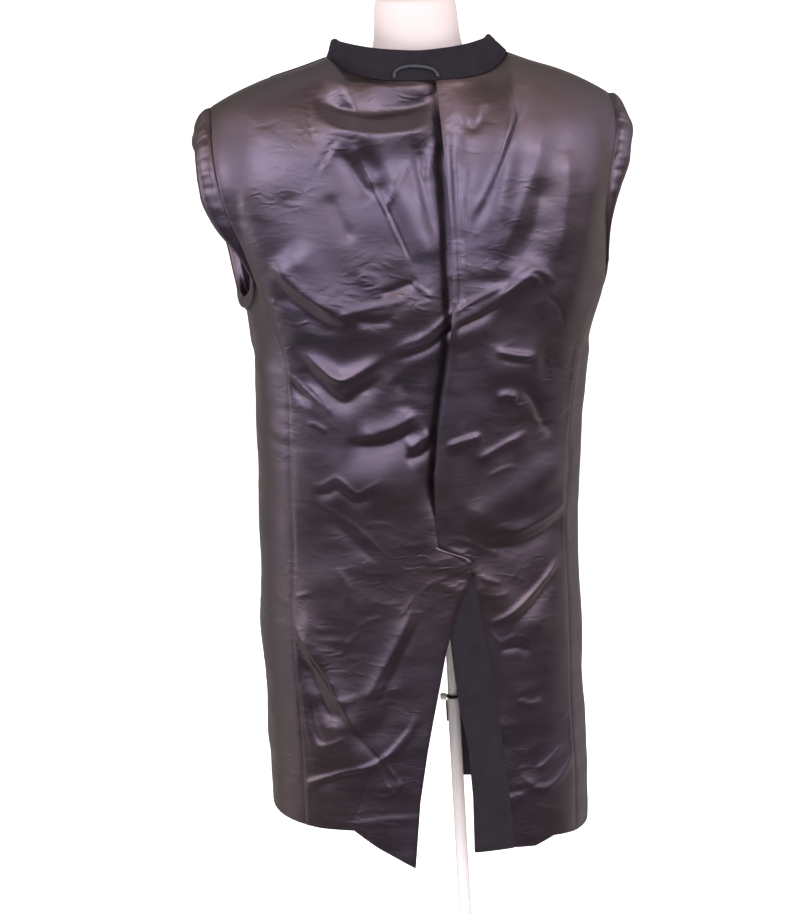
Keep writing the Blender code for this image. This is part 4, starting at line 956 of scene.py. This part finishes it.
SLEEVE_HEAD = {
    # how far the roll reaches out at each place round the armhole, as a share of the roll above:
    # down the back of the armhole, then up its front
    1: [0.80, 0.76, 0.72, 0.84, 0.92, 0.85, 0.60, 0.32, 0.28, 0.28, 0.30, 0.32, 0.40, 0.62, 0.85, 1.00,
        1.00, 0.95],
    -1: [0.85, 0.93, 0.88, 0.90, 0.76, 0.36, 0.20, 0.20, 0.24, 0.28, 0.30, 0.32, 0.40, 0.62, 0.85, 0.95,
         0.95, 0.90],
}
HEAD_DROP = 0.0120       # how far the head slopes down beyond the end of the shoulder
PUCKERS = [
    # centimetres from the shoulder along the back of the armhole (below zero: along the front),
    # height, half width and length in millimetres
    (0.8, 1.0, 3.0, 14),
    (2.1, -1.8, 2.4, 18),
    (3.2, 1.6, 3.6, 22),
    (4.5, -2.0, 2.6, 20),
    (5.6, 1.3, 3.2, 13),
    (6.9, -1.1, 3.0, 18),
    (8.8, 1.2, 4.5, 24),
    (10.6, -1.2, 4.0, 20),
    (12.9, 0.9, 5.0, 15),
    (-1.3, -1.5, 2.6, 17),
    (-2.7, 1.5, 3.2, 21),
    (-4.1, -1.3, 2.8, 14),
    (-5.8, 1.2, 3.8, 19),
    (-8.1, -1.0, 3.6, 22),
    (-10.6, 0.9, 4.2, 16),
]
SLEEVE_COLUMNS = 200
for side, word in ((1, "left"), (-1, "right")):
    count = SLEEVE_COLUMNS
    stations = np.interp(np.arange(count) / count, [0, 0.46, 1], [AT_SHOULDER, AT_SIDE, AT_FRONT_SHOULDER])
    grid, normals = cloth_surface(side, stations, 0.02)
    edge = grid[-1]
    normal = normals[-1]
    loop_way = unit(np.roll(edge, -1, axis=0) - np.roll(edge, 1, axis=0))
    run = edge - grid[-2]
    out = unit(run - np.sum(run * loop_way, axis=1, keepdims=True) * loop_way)
    spoke = edge - np.array([0.0, -0.004, 1.285])
    spoke[:, 0] = 0.0
    spoke = unit(spoke)
    shares = np.array(SLEEVE_HEAD[side] + SLEEVE_HEAD[side][:1])[:, None]
    head = through(np.column_stack([np.arange(19), shares]),
                   np.interp(stations, [AT_SHOULDER, AT_SIDE, AT_FRONT_SHOULDER], [0, 7, 18]))[:, 0]
    drop = HEAD_DROP * smooth_step((edge[:, 2] - 1.350) / 0.045)
    rings = [edge + out * SEAM_GAP * 1.4]
    for outwards, inwards in SLEEVE_ROLL:
        ring = edge + np.array([side, 0, 0]) * (outwards * head)[:, None]
        ring[:, 2] -= drop * (outwards / 0.023) ** 2
        rings.append(ring - spoke * (inwards * (0.35 + 0.65 * head))[:, None])
    turn = np.arctan2(edge[:, 1] + 0.003, edge[:, 2] - 1.275)
    over = (1.0 + np.cos(turn)) / 2
    flat = (1.0 + np.sign(np.cos(turn)) * np.abs(np.cos(turn)) ** 0.45) / 2
    for x_over, z_over, x_under, z_under, depth in SLEEVE_RINGS:
        y = depth * np.sin(turn) - 0.003
        centre, half, back, front = through(SECTIONS, min(z_under, 1.15))[0]
        centre *= float(smooth_step((1.16 - z_under) / 0.08))
        reach = np.where(y > 0, back, front)
        bend = half * (1.0 - (1.0 - (np.abs(y) / reach) ** SECTION_POWER) ** (1 / SECTION_POWER))
        rings.append(np.stack([side * (x_under + (x_over - x_under) * flat - bend) + centre, y,
                               z_under + (z_over - z_under) * over], 1))
    rings = np.array(rings)
    shares = np.concatenate([np.linspace(0, 0.45, 45)[:-1], np.linspace(0.45, 1.0, 60)])
    rings = along(rings.reshape(len(rings), -1), shares).reshape(len(shares), count, 3)
    around = np.roll(rings, -1, axis=1) - np.roll(rings, 1, axis=1)
    facing = unit(np.cross(unit(np.gradient(rings, axis=0)), unit(around))) * side
    facing[0] = normal
    depth_in = np.concatenate([np.zeros((1, count)),
                               np.cumsum(np.linalg.norm(np.diff(rings, axis=0), axis=2), axis=0)])
    step = np.linalg.norm(np.roll(edge, -1, axis=0) - edge, axis=1)
    walk = np.concatenate([[0.0], np.cumsum(step)[:-1]])
    walk = np.where(walk > step.sum() / 2, walk - step.sum(), walk) * 100
    height = np.zeros(depth_in.shape)
    for spot, rise, width, length in PUCKERS:
        across = np.exp(-(((walk - spot) * 10 / width) ** 2))
        height += rise / 1000 * across * np.exp(-((depth_in * 1000 / length) ** 2))
    height += 0.0014 * slow_swell(31 + side, walk + 0 * depth_in, depth_in * 100, 3.2)
    height *= smooth_step(depth_in / 0.006)
    height *= smooth_step((0.25 - depth_in) / 0.15)
    height += seam_dip(depth_in, 0.0009, 0.0022)
    outer = rings + facing * height[..., None]
    sleeve = sheet_mesh(f"coat_sleeve_{word}", outer, outer - facing * WALL, [satin, wool], closed=True)
    take_place(sleeve, f"sleeve_{word}")

# Collar: a stand and a fall in one, of the same wool, folded at the top so that the fall lies inside.
# A line of stitching runs along the stand, just under the fold.
COLLAR_X = 0.002
COLLAR_HALF = 0.089
COLLAR_BACK_Y = 0.061
COLLAR_BACK_Z = 1.456
COLLAR_SIDE_Z = 1.4665
COLLAR_FOLD = 0.0070
COLLAR_FALL = 0.019
seams = []
seam_normals = []
folds = []
for side in (-1, 1):
    grid, normals = cloth_surface(side, np.arange(AT_EDGE + 1.0), 0.02)
    columns = list(range(0 if side < 0 else 1, AT_NECK + 1)) + [AT_ROLL + 1]
    if side < 0:
        columns.reverse()
    for c in columns:
        point = grid[-1, c]
        past = 1.0 if c > AT_NECK else 0.0
        turn = math.atan2((point[0] - NECK_X) / NECK_HALF, point[1] / NECK_BACK_Y)
        turn = side * math.pi / 2 if past else turn
        seams.append(point)
        seam_normals.append(normals[-1, c])
        folds.append((
            COLLAR_X + COLLAR_HALF * math.sin(turn) - side * 0.010 * past,
            COLLAR_BACK_Y * math.cos(turn) - 0.050 * past,
            COLLAR_BACK_Z + (COLLAR_SIDE_Z - COLLAR_BACK_Z) * math.sin(turn) ** 2 - 0.026 * past,
        ))
places = np.linspace(0, 1, 12 * (len(seams) - 1) + 1)
seams = along(seams, places)
seam_normals = unit(along(seam_normals, places))
folds = along(folds, places)
runs = unit(np.gradient(folds, axis=0))
seam_runs = unit(np.gradient(seams, axis=0))
outer = []
inner = []
radius = COLLAR_FOLD / 2
for seam, normal, fold, run, seam_run in zip(seams, seam_normals, folds, runs, seam_runs):
    seam = seam + unit(np.cross(seam_run, normal)) * SEAM_GAP * 1.5
    rise = unit(fold - seam)
    inwards = unit(np.cross(run, rise))
    down = unit(np.array([0.0, 0.0, -1.0]) - 0.15 * inwards)
    stand_end = fold - rise * radius
    line = [seam + (stand_end - seam) * t for t in (0.0, 0.3, 0.65, 1.0)]
    under = [point + inwards * WALL for point in line]
    under[0] = seam - normal * WALL
    centre = stand_end + inwards * radius
    for angle in (40, 90, 140):
        swing = math.radians(angle)
        way = -inwards * math.cos(swing) + rise * math.sin(swing)
        line.append(centre + way * radius)
        under.append(centre + way * (radius - WALL))
    fall = stand_end + inwards * COLLAR_FOLD
    length = COLLAR_FALL * (0.7 + 0.3 * float(smooth_step(1.3 - abs(fold[0] - COLLAR_X) / 0.06)))
    for t in (0.0, 0.5, 1.0):
        line.append(fall + down * length * t)
        under.append(fall + down * length * t - inwards * WALL)
    outer.append(line)
    inner.append(under)
outer = np.array(outer)
inner = np.array(inner)
loop_low = outer[:, 0].copy()
loop_high = outer[:, 3].copy()
outer = along(outer.transpose(1, 0, 2).reshape(10, -1), np.linspace(0, 1, 82)).reshape(82, -1, 3)
inner = along(inner.transpose(1, 0, 2).reshape(10, -1), np.linspace(0, 1, 82)).reshape(82, -1, 3)
thick = unit(outer - inner)
from_seam = np.concatenate([np.zeros((1, outer.shape[1])),
                            np.cumsum(np.linalg.norm(np.diff(outer, axis=0), axis=2), axis=0)])
fold_reach = from_seam[27]
stitch = np.exp(-(((from_seam - fold_reach + 0.0090) / 0.0011) ** 2))
swell = 0.0006 * slow_swell(41, outer[..., 0] * 100, from_seam * 100, 3.0)
lift = ((swell - 0.0006 * stitch) * smooth_step(from_seam / 0.004)
        * smooth_step((from_seam[-1] - from_seam) / 0.004))
outer = outer + thick * lift[..., None]
collar = sheet_mesh("coat_collar", outer, inner, [wool])
take_place(collar, "collar")

# Hanger loop: a narrow flat woven tape, ribbed across. Its two ends are caught in the seam under the
# collar, and it stands up from there in an arch.
tape, tree, shader, place = start_material("woven_tape")
ribs = put(tree, "ShaderNodeTexWave", {"bands_direction": "X"}, {"Vector": place, "Scale": 300.0})
feed(tree, shader, {"Base Color": hex_colour("#2c3136"), "Roughness": 0.62,
                    "Normal": bump(tree, ribs.outputs["Fac"], 0.3, 0.0003)})
LOOP_LEFT_X = 0.031
LOOP_RIGHT_X = -0.018
LOOP_HEIGHT = 0.0130
LOOP_WIDTH = 0.0034
TAPE_WALL = 0.0011
behind = (np.abs(loop_low[:, 0] - NECK_X) < 0.7 * NECK_HALF) & (loop_low[:, 1] > 0)
low = loop_low[behind]
high = loop_high[behind]
outer = []
inner = []
for t in np.linspace(0.0, 1.0, 60):
    x = LOOP_LEFT_X + (LOOP_RIGHT_X - LOOP_LEFT_X) * (0.5 - 0.5 * math.cos(math.pi * t))
    seam = np.array([np.interp(x, low[:, 0], low[:, i]) for i in range(3)])
    top = np.array([np.interp(x, low[:, 0], high[:, i]) for i in range(3)])
    rise = unit(top - seam)
    out = unit(np.cross(rise, np.array([1.0, 0.0, 0.0])))
    arch = math.sin(math.pi * t)
    middle = seam + rise * (0.0024 + LOOP_HEIGHT * arch**0.7) + out * (4 * SEAM_GAP + 0.002 * arch)
    side_way = unit(rise * arch + np.array([math.cos(math.pi * t), 0, 0]))
    across = [middle + side_way * LOOP_WIDTH * s for s in (-0.5, -0.46, -0.2, 0.2, 0.46, 0.5)]
    crown = (0.3, 0.8, 1.0, 1.0, 0.8, 0.3)
    inner.append(across)
    outer.append([point + out * TAPE_WALL * c for point, c in zip(across, crown)])
loop = sheet_mesh("hanger_loop_tape", np.array(outer), np.array(inner), [tape])
take_place(loop, "hanger_loop")

# Dress form: a limbless torso with a neck block, moulded and painted pale, smooth all over.
# It is drawn up ring by ring from its closed underside.
STAND_TOP_X = -0.0065
STAND_TOP_Z = 1.46
STAND_LEAN = 0.0322
FORM = [
    # z, x of its middle beside the pole's line, half width, depth to the back, depth to the front
    (0.820, 0.000, 0.117, 0.086, 0.086),
    (0.826, 0.000, 0.122, 0.090, 0.090),
    (0.870, 0.000, 0.126, 0.094, 0.094),
    (0.930, 0.001, 0.126, 0.093, 0.094),
    (1.010, 0.003, 0.124, 0.086, 0.088),
    (1.080, 0.004, 0.128, 0.088, 0.092),
    (1.160, 0.005, 0.142, 0.096, 0.102),
    (1.240, 0.005, 0.152, 0.100, 0.106),
    (1.310, 0.005, 0.162, 0.097, 0.098),
    (1.360, 0.005, 0.172, 0.082, 0.078),
    (1.385, 0.005, 0.170, 0.068, 0.060),
    (1.402, 0.005, 0.158, 0.056, 0.048),
    (1.414, 0.004, 0.138, 0.050, 0.042),
    (1.425, 0.003, 0.112, 0.047, 0.040),
    (1.433, 0.002, 0.085, 0.047, 0.041),
    (1.440, 0.001, 0.066, 0.047, 0.043),
    (1.448, 0.000, 0.0540, 0.0475, 0.0450),
    (1.460, 0.000, 0.0485, 0.0475, 0.0460),
    (1.500, 0.000, 0.0470, 0.0470, 0.0470),
    (1.508, 0.000, 0.0450, 0.0450, 0.0450),
    (1.510, 0.000, 0.0420, 0.0420, 0.0420),
]
form_skin, tree, shader, place = start_material("painted_fibreglass")
feed(tree, shader, {"Base Color": hex_colour("#d0c6be"), "Roughness": 0.55,
                    "Normal": bump(tree, noise(tree, place, 160.0, detail=3.0), 0.12, 0.0006)})


def stand_x(z):
    return STAND_TOP_X - (STAND_TOP_Z - z) * STAND_LEAN


def finish_piece(piece, material, node, angle=40):
    """Puts a modelled piece's place into its mesh, smooths it, paints it and lets it ride."""
    bpy.ops.object.mode_set(mode="OBJECT")
    bpy.ops.object.transform_apply(location=True, rotation=True, scale=True)
    bpy.ops.object.shade_smooth_by_angle(angle=math.radians(angle))
    piece.data.materials.clear()
    piece.data.materials.append(material)
    take_place(piece, node)
    bpy.ops.object.select_all(action="DESELECT")


bpy.ops.object.select_all(action="DESELECT")
z, beside, half, back, front = FORM[0]
bpy.ops.mesh.primitive_circle_add(vertices=64, radius=1.0, fill_type="NGON",
                                  location=(stand_x(z) + beside, (back - front) / 2, z))
torso = bpy.context.object
torso.name = "dress_form"
torso.scale = (half, (back + front) / 2, 1.0)
bpy.ops.object.transform_apply(location=False, rotation=False, scale=True)
bpy.ops.object.mode_set(mode="EDIT")
bpy.ops.mesh.select_all(action="SELECT")
before = FORM[0]
for row in FORM[1:]:
    rise = Vector((stand_x(row[0]) + row[1] - stand_x(before[0]) - before[1],
                   (row[3] - row[4] - before[3] + before[4]) / 2, row[0] - before[0]))
    bpy.ops.mesh.extrude_region_move(TRANSFORM_OT_translate={"value": rise})
    bpy.ops.transform.resize(value=(row[2] / before[2], (row[3] + row[4]) / (before[3] + before[4]), 1.0))
    before = row
bpy.ops.mesh.select_all(action="SELECT")
bpy.ops.mesh.normals_make_consistent(inside=False)
bpy.ops.object.mode_set(mode="OBJECT")
crown = torso.modifiers.new("rounding", "SUBSURF")
crown.levels = 1
crown.render_levels = 1
bpy.ops.object.modifier_apply(modifier=crown.name)
finish_piece(torso, form_skin, "form_torso", angle=50)

# Pole: two chromed steel tubes, one in the other, joined by a black clamp ring. A knob closes the
# clamp and a thin lever hangs beside it.
UPPER_TUBE = 0.0060
LOWER_TUBE = 0.0073
TUBE_JOINT_Z = 0.683
RING_RADIUS = 0.0084
RING_HEIGHT = 0.0030
KNOB_RADIUS = 0.0042
KNOB_LENGTH = 0.0065
LEVER = (0.0016, 0.0040, 0.0260)         # thick, wide, long
chrome, tree, shader, place = start_material("chromed_steel")
# Near-white base colour with little metal in it: a painted reflection of the pale room in the chrome. The
# colour darkens towards the tube's sides, where they turn away from the view: painted shade.
turning = put(tree, "ShaderNodeLayerWeight", inputs={"Blend": 0.40})
rim = put(tree, "ShaderNodeMix", {"data_type": "RGBA"}, {
    "Factor": turning.outputs["Facing"], "A": hex_colour("#fffaf5"), "B": hex_colour("#a0948d")})
lines = noise(tree, mapped(tree, place, (900.0, 900.0, 9.0)), 1.0, detail=2.0)
feed(tree, shader, {"Base Color": rim.outputs["Result"], "Metallic": 0.15,
                    "Roughness": ranged(tree, lines, 0.0, 1.0, 0.20, 0.36)})
black_plastic, tree, shader, place = start_material("moulded_black_nylon")
feed(tree, shader, {"Base Color": hex_colour("#1b1b1e"), "Roughness": 0.42,
                    "Normal": bump(tree, noise(tree, place, 700.0), 0.2, 0.0002)})
lean = math.atan(STAND_LEAN)


def turned_piece(name, foot, head, radius, edge, sides=64):
    """A round bar between two points, its two rims bevelled."""
    foot = Vector(foot)
    head = Vector(head)
    bpy.ops.mesh.primitive_cylinder_add(vertices=sides, radius=radius, depth=(head - foot).length,
                                        location=(foot + head) / 2,
                                        rotation=(head - foot).to_track_quat("Z", "Y").to_euler())
    piece = bpy.context.object
    piece.name = name
    bpy.ops.object.mode_set(mode="EDIT")
    bpy.ops.mesh.select_all(action="DESELECT")
    work = bmesh.from_edit_mesh(piece.data)
    for line in work.edges:
        line.select = any(len(face.verts) > 4 for face in line.link_faces)
    bmesh.update_edit_mesh(piece.data)
    bpy.ops.mesh.bevel(offset=edge, segments=3, affect="EDGES")
    return piece


def on_pole(z):
    return (stand_x(z), 0.0, z)


BASE_RADIUS = 0.180
BASE_THICK = 0.010
SOCKET_HEIGHT = 0.030
SOCKET_RADIUS = 0.019
socket_foot = BASE_THICK + SEAM_GAP
tube_foot = socket_foot + SOCKET_HEIGHT + SEAM_GAP + LOWER_TUBE * STAND_LEAN
finish_piece(turned_piece("pole_tube_lower", on_pole(tube_foot), on_pole(TUBE_JOINT_Z), LOWER_TUBE, 0.0006),
             chrome, "pole_lower")
upper_foot = TUBE_JOINT_Z + 2 * SEAM_GAP + RING_HEIGHT
finish_piece(turned_piece("pole_tube_upper", on_pole(upper_foot), on_pole(FORM[0][0] - SEAM_GAP - SEAM_GAP),
                          UPPER_TUBE, 0.0004), chrome, "pole_upper")
finish_piece(turned_piece("clamp_band", on_pole(TUBE_JOINT_Z + SEAM_GAP),
                          on_pole(TUBE_JOINT_Z + SEAM_GAP + RING_HEIGHT), RING_RADIUS, 0.0006),
             black_plastic, "clamp_ring")
middle_z = TUBE_JOINT_Z + SEAM_GAP + RING_HEIGHT / 2
knob_x = stand_x(middle_z) + RING_RADIUS + SEAM_GAP
knob = turned_piece("clamp_screw", (knob_x, 0, middle_z), (knob_x + KNOB_LENGTH, 0, middle_z),
                    KNOB_RADIUS, 0.0007, 24)
bpy.ops.mesh.select_all(action="DESELECT")
work = bmesh.from_edit_mesh(knob.data)
for face in work.faces:
    face.select = face.calc_center_median().z < -0.003 and abs(face.normal.z) > 0.99
bmesh.update_edit_mesh(knob.data)
bpy.ops.mesh.inset(thickness=0.0020)
finish_piece(knob, chrome, "clamp_knob")
lever_x = stand_x(TUBE_JOINT_Z) + LOWER_TUBE + SEAM_GAP
top = TUBE_JOINT_Z - 0.0030
half_long = LEVER[2] / 2
bpy.ops.mesh.primitive_cube_add(
    size=1.0, location=(lever_x + LEVER[0] / 2 - half_long * STAND_LEAN, 0, top - half_long),
    rotation=(0, lean, 0))
lever = bpy.context.object
lever.name = "clamp_arm"
lever.scale = LEVER
bpy.ops.object.transform_apply(location=False, rotation=False, scale=True)
bpy.ops.object.mode_set(mode="EDIT")
bpy.ops.mesh.select_all(action="SELECT")
bpy.ops.mesh.bevel(offset=0.0004, segments=2, affect="EDGES")
finish_piece(lever, black_plastic, "clamp_lever")

# Base: a round steel plate, cut out, its rim rounded and enamelled pale. A chromed socket is turned from
# the bar and holds the lower tube. The photograph's lower edge hides both.
enamel, tree, shader, place = start_material("pale_enamel")
feed(tree, shader, {"Base Color": hex_colour("#dedbd8"), "Roughness": 0.32, "Coat Weight": 0.3,
                    "Normal": bump(tree, noise(tree, place, 120.0, detail=2.0), 0.06, 0.0005)})
base_x = stand_x(BASE_THICK)
finish_piece(turned_piece("base_disc", (base_x, 0, 0), (base_x, 0, BASE_THICK), BASE_RADIUS, 0.0028, 128),
             enamel, "base_plate")
socket = turned_piece("base_cup", (base_x, 0, socket_foot), (base_x, 0, socket_foot + SOCKET_HEIGHT),
                      SOCKET_RADIUS, 0.003)
finish_piece(socket, chrome, "base_socket")

# Plain pale floor, and soft light from big boxes above and beside the camera.
bpy.ops.object.select_all(action="DESELECT")
bpy.ops.mesh.primitive_circle_add(vertices=96, radius=60.0, fill_type="NGON", location=(0, 0, 0))
floor = bpy.context.object
floor.name = "floor"
floor_paint, tree, shader, place = start_material("pale_matt_floor")
feed(tree, shader, {"Base Color": hex_colour("#f4f2f0"), "Roughness": 0.9,
                    "Emission Color": hex_colour("#ffffff"), "Emission Strength": 0.62})
floor.data.materials.append(floor_paint)
floor.visible_glossy = False

LIGHTS = [
    # name, place, size across, size up, power, colour
    ("box_over_left", (2.0, 2.5, 2.75), 2.3, 1.5, 34.0, "#f3efff"),
    ("box_over_right", (-1.5, 2.7, 2.75), 2.0, 1.5, 28.0, "#f3efff"),
    ("box_side_left", (3.3, 0.1, 1.15), 1.8, 1.3, 22.0, "#f6f2ff"),
    ("box_front", (0.4, -2.6, 2.4), 2.4, 1.8, 40.0, "#ffffff"),
]
for name, spot, wide, high, power, colour in LIGHTS:
    lamp = bpy.data.lights.new(name, "AREA")
    lamp.shape = "RECTANGLE"
    lamp.size = wide
    lamp.size_y = high
    lamp.energy = power
    lamp.color = hex_colour(colour)[:3]
    holder = bpy.data.objects.new(name, lamp)
    holder.location = spot
    holder.rotation_euler = (Vector((0, 0, 1.1)) - Vector(spot)).to_track_quat("-Z", "Y").to_euler()
    bpy.context.scene.collection.objects.link(holder)
# The last box fills the coat's front, and makes no rim along its shoulders.
holder.visible_glossy = False

world = bpy.data.worlds.new("studio")
bpy.context.scene.world = world
world.use_nodes = True
tree = world.node_tree
backdrop = tree.nodes["Background"]
way = put(tree, "ShaderNodeTexCoord").outputs["Generated"]
split = put(tree, "ShaderNodeSeparateXYZ", inputs={"Vector": way})
room = put(tree, "ShaderNodeValToRGB", inputs={"Fac": ranged(tree, split.outputs["Z"], -1.0, 1.0)})
ROOM = [
    # share of the way up, brightness, colour: a dim floor, a bright band above the horizon, a warm ceiling
    (0.00, 0.03, "#ffe8e0"),
    (0.45, 0.035, "#ffeee8"),
    (0.53, 0.30, "#f4eeff"),
    (0.60, 0.85, "#efe9ff"),
    (0.72, 0.80, "#efe9ff"),
    (0.83, 0.60, "#f8e2d8"),
    (0.91, 0.50, "#f4d8c8"),
    (0.96, 0.14, "#f0ccbc"),
    (1.00, 0.03, "#f0ccbc"),
]
ramp = room.color_ramp
while len(ramp.elements) < len(ROOM):
    ramp.elements.new(0.5)
for element, (spot, bright, colour) in zip(ramp.elements, ROOM):
    element.position = spot
    element.color = tuple(bright * c for c in hex_colour(colour)[:3]) + (1.0,)
near = ranged(tree, split.outputs["Y"], -0.35, 0.30)
behind = ranged(tree, split.outputs["Y"], -0.75, -0.25, 0.13, 0.36)
sides = put(tree, "ShaderNodeMix", {"data_type": "RGBA"},
            {"Factor": near, "A": behind, "B": room.outputs["Color"]})
seen = put(tree, "ShaderNodeLightPath").outputs["Is Camera Ray"]
colour = put(tree, "ShaderNodeMix", {"data_type": "RGBA"},
             {"Factor": seen, "A": sides.outputs["Result"], "B": (1.0, 1.0, 1.0, 1.0)})
feed(tree, backdrop, {"Color": colour.outputs["Result"], "Strength": ranged(tree, seen, 0.0, 1.0, 2.5, 1.0)})

# Camera, at the photograph's angle.
eye = Vector((0.4537, 2.8643, 1.62))
aim = Vector((0.026, 0.004, 0.982))
lens = bpy.data.cameras.new("camera")
lens.sensor_fit = "VERTICAL"
SENSOR = 36.0
FOCAL_PIXELS = 2534.0
PHOTO_HEIGHT = 914.0     # pixels
ROLL = -1.5              # degrees
lens.sensor_height = SENSOR
lens.lens = SENSOR * FOCAL_PIXELS / PHOTO_HEIGHT
lens.clip_end = 60.0
camera = bpy.data.objects.new("camera", lens)
camera.location = eye
turn = (aim - eye).to_track_quat("-Z", "Y").to_matrix() @ Euler((0, 0, math.radians(ROLL))).to_matrix()
camera.rotation_euler = turn.to_euler()
bpy.context.scene.collection.objects.link(camera)
bpy.context.scene.camera = camera
bpy.context.scene.view_settings.view_transform = "Standard"
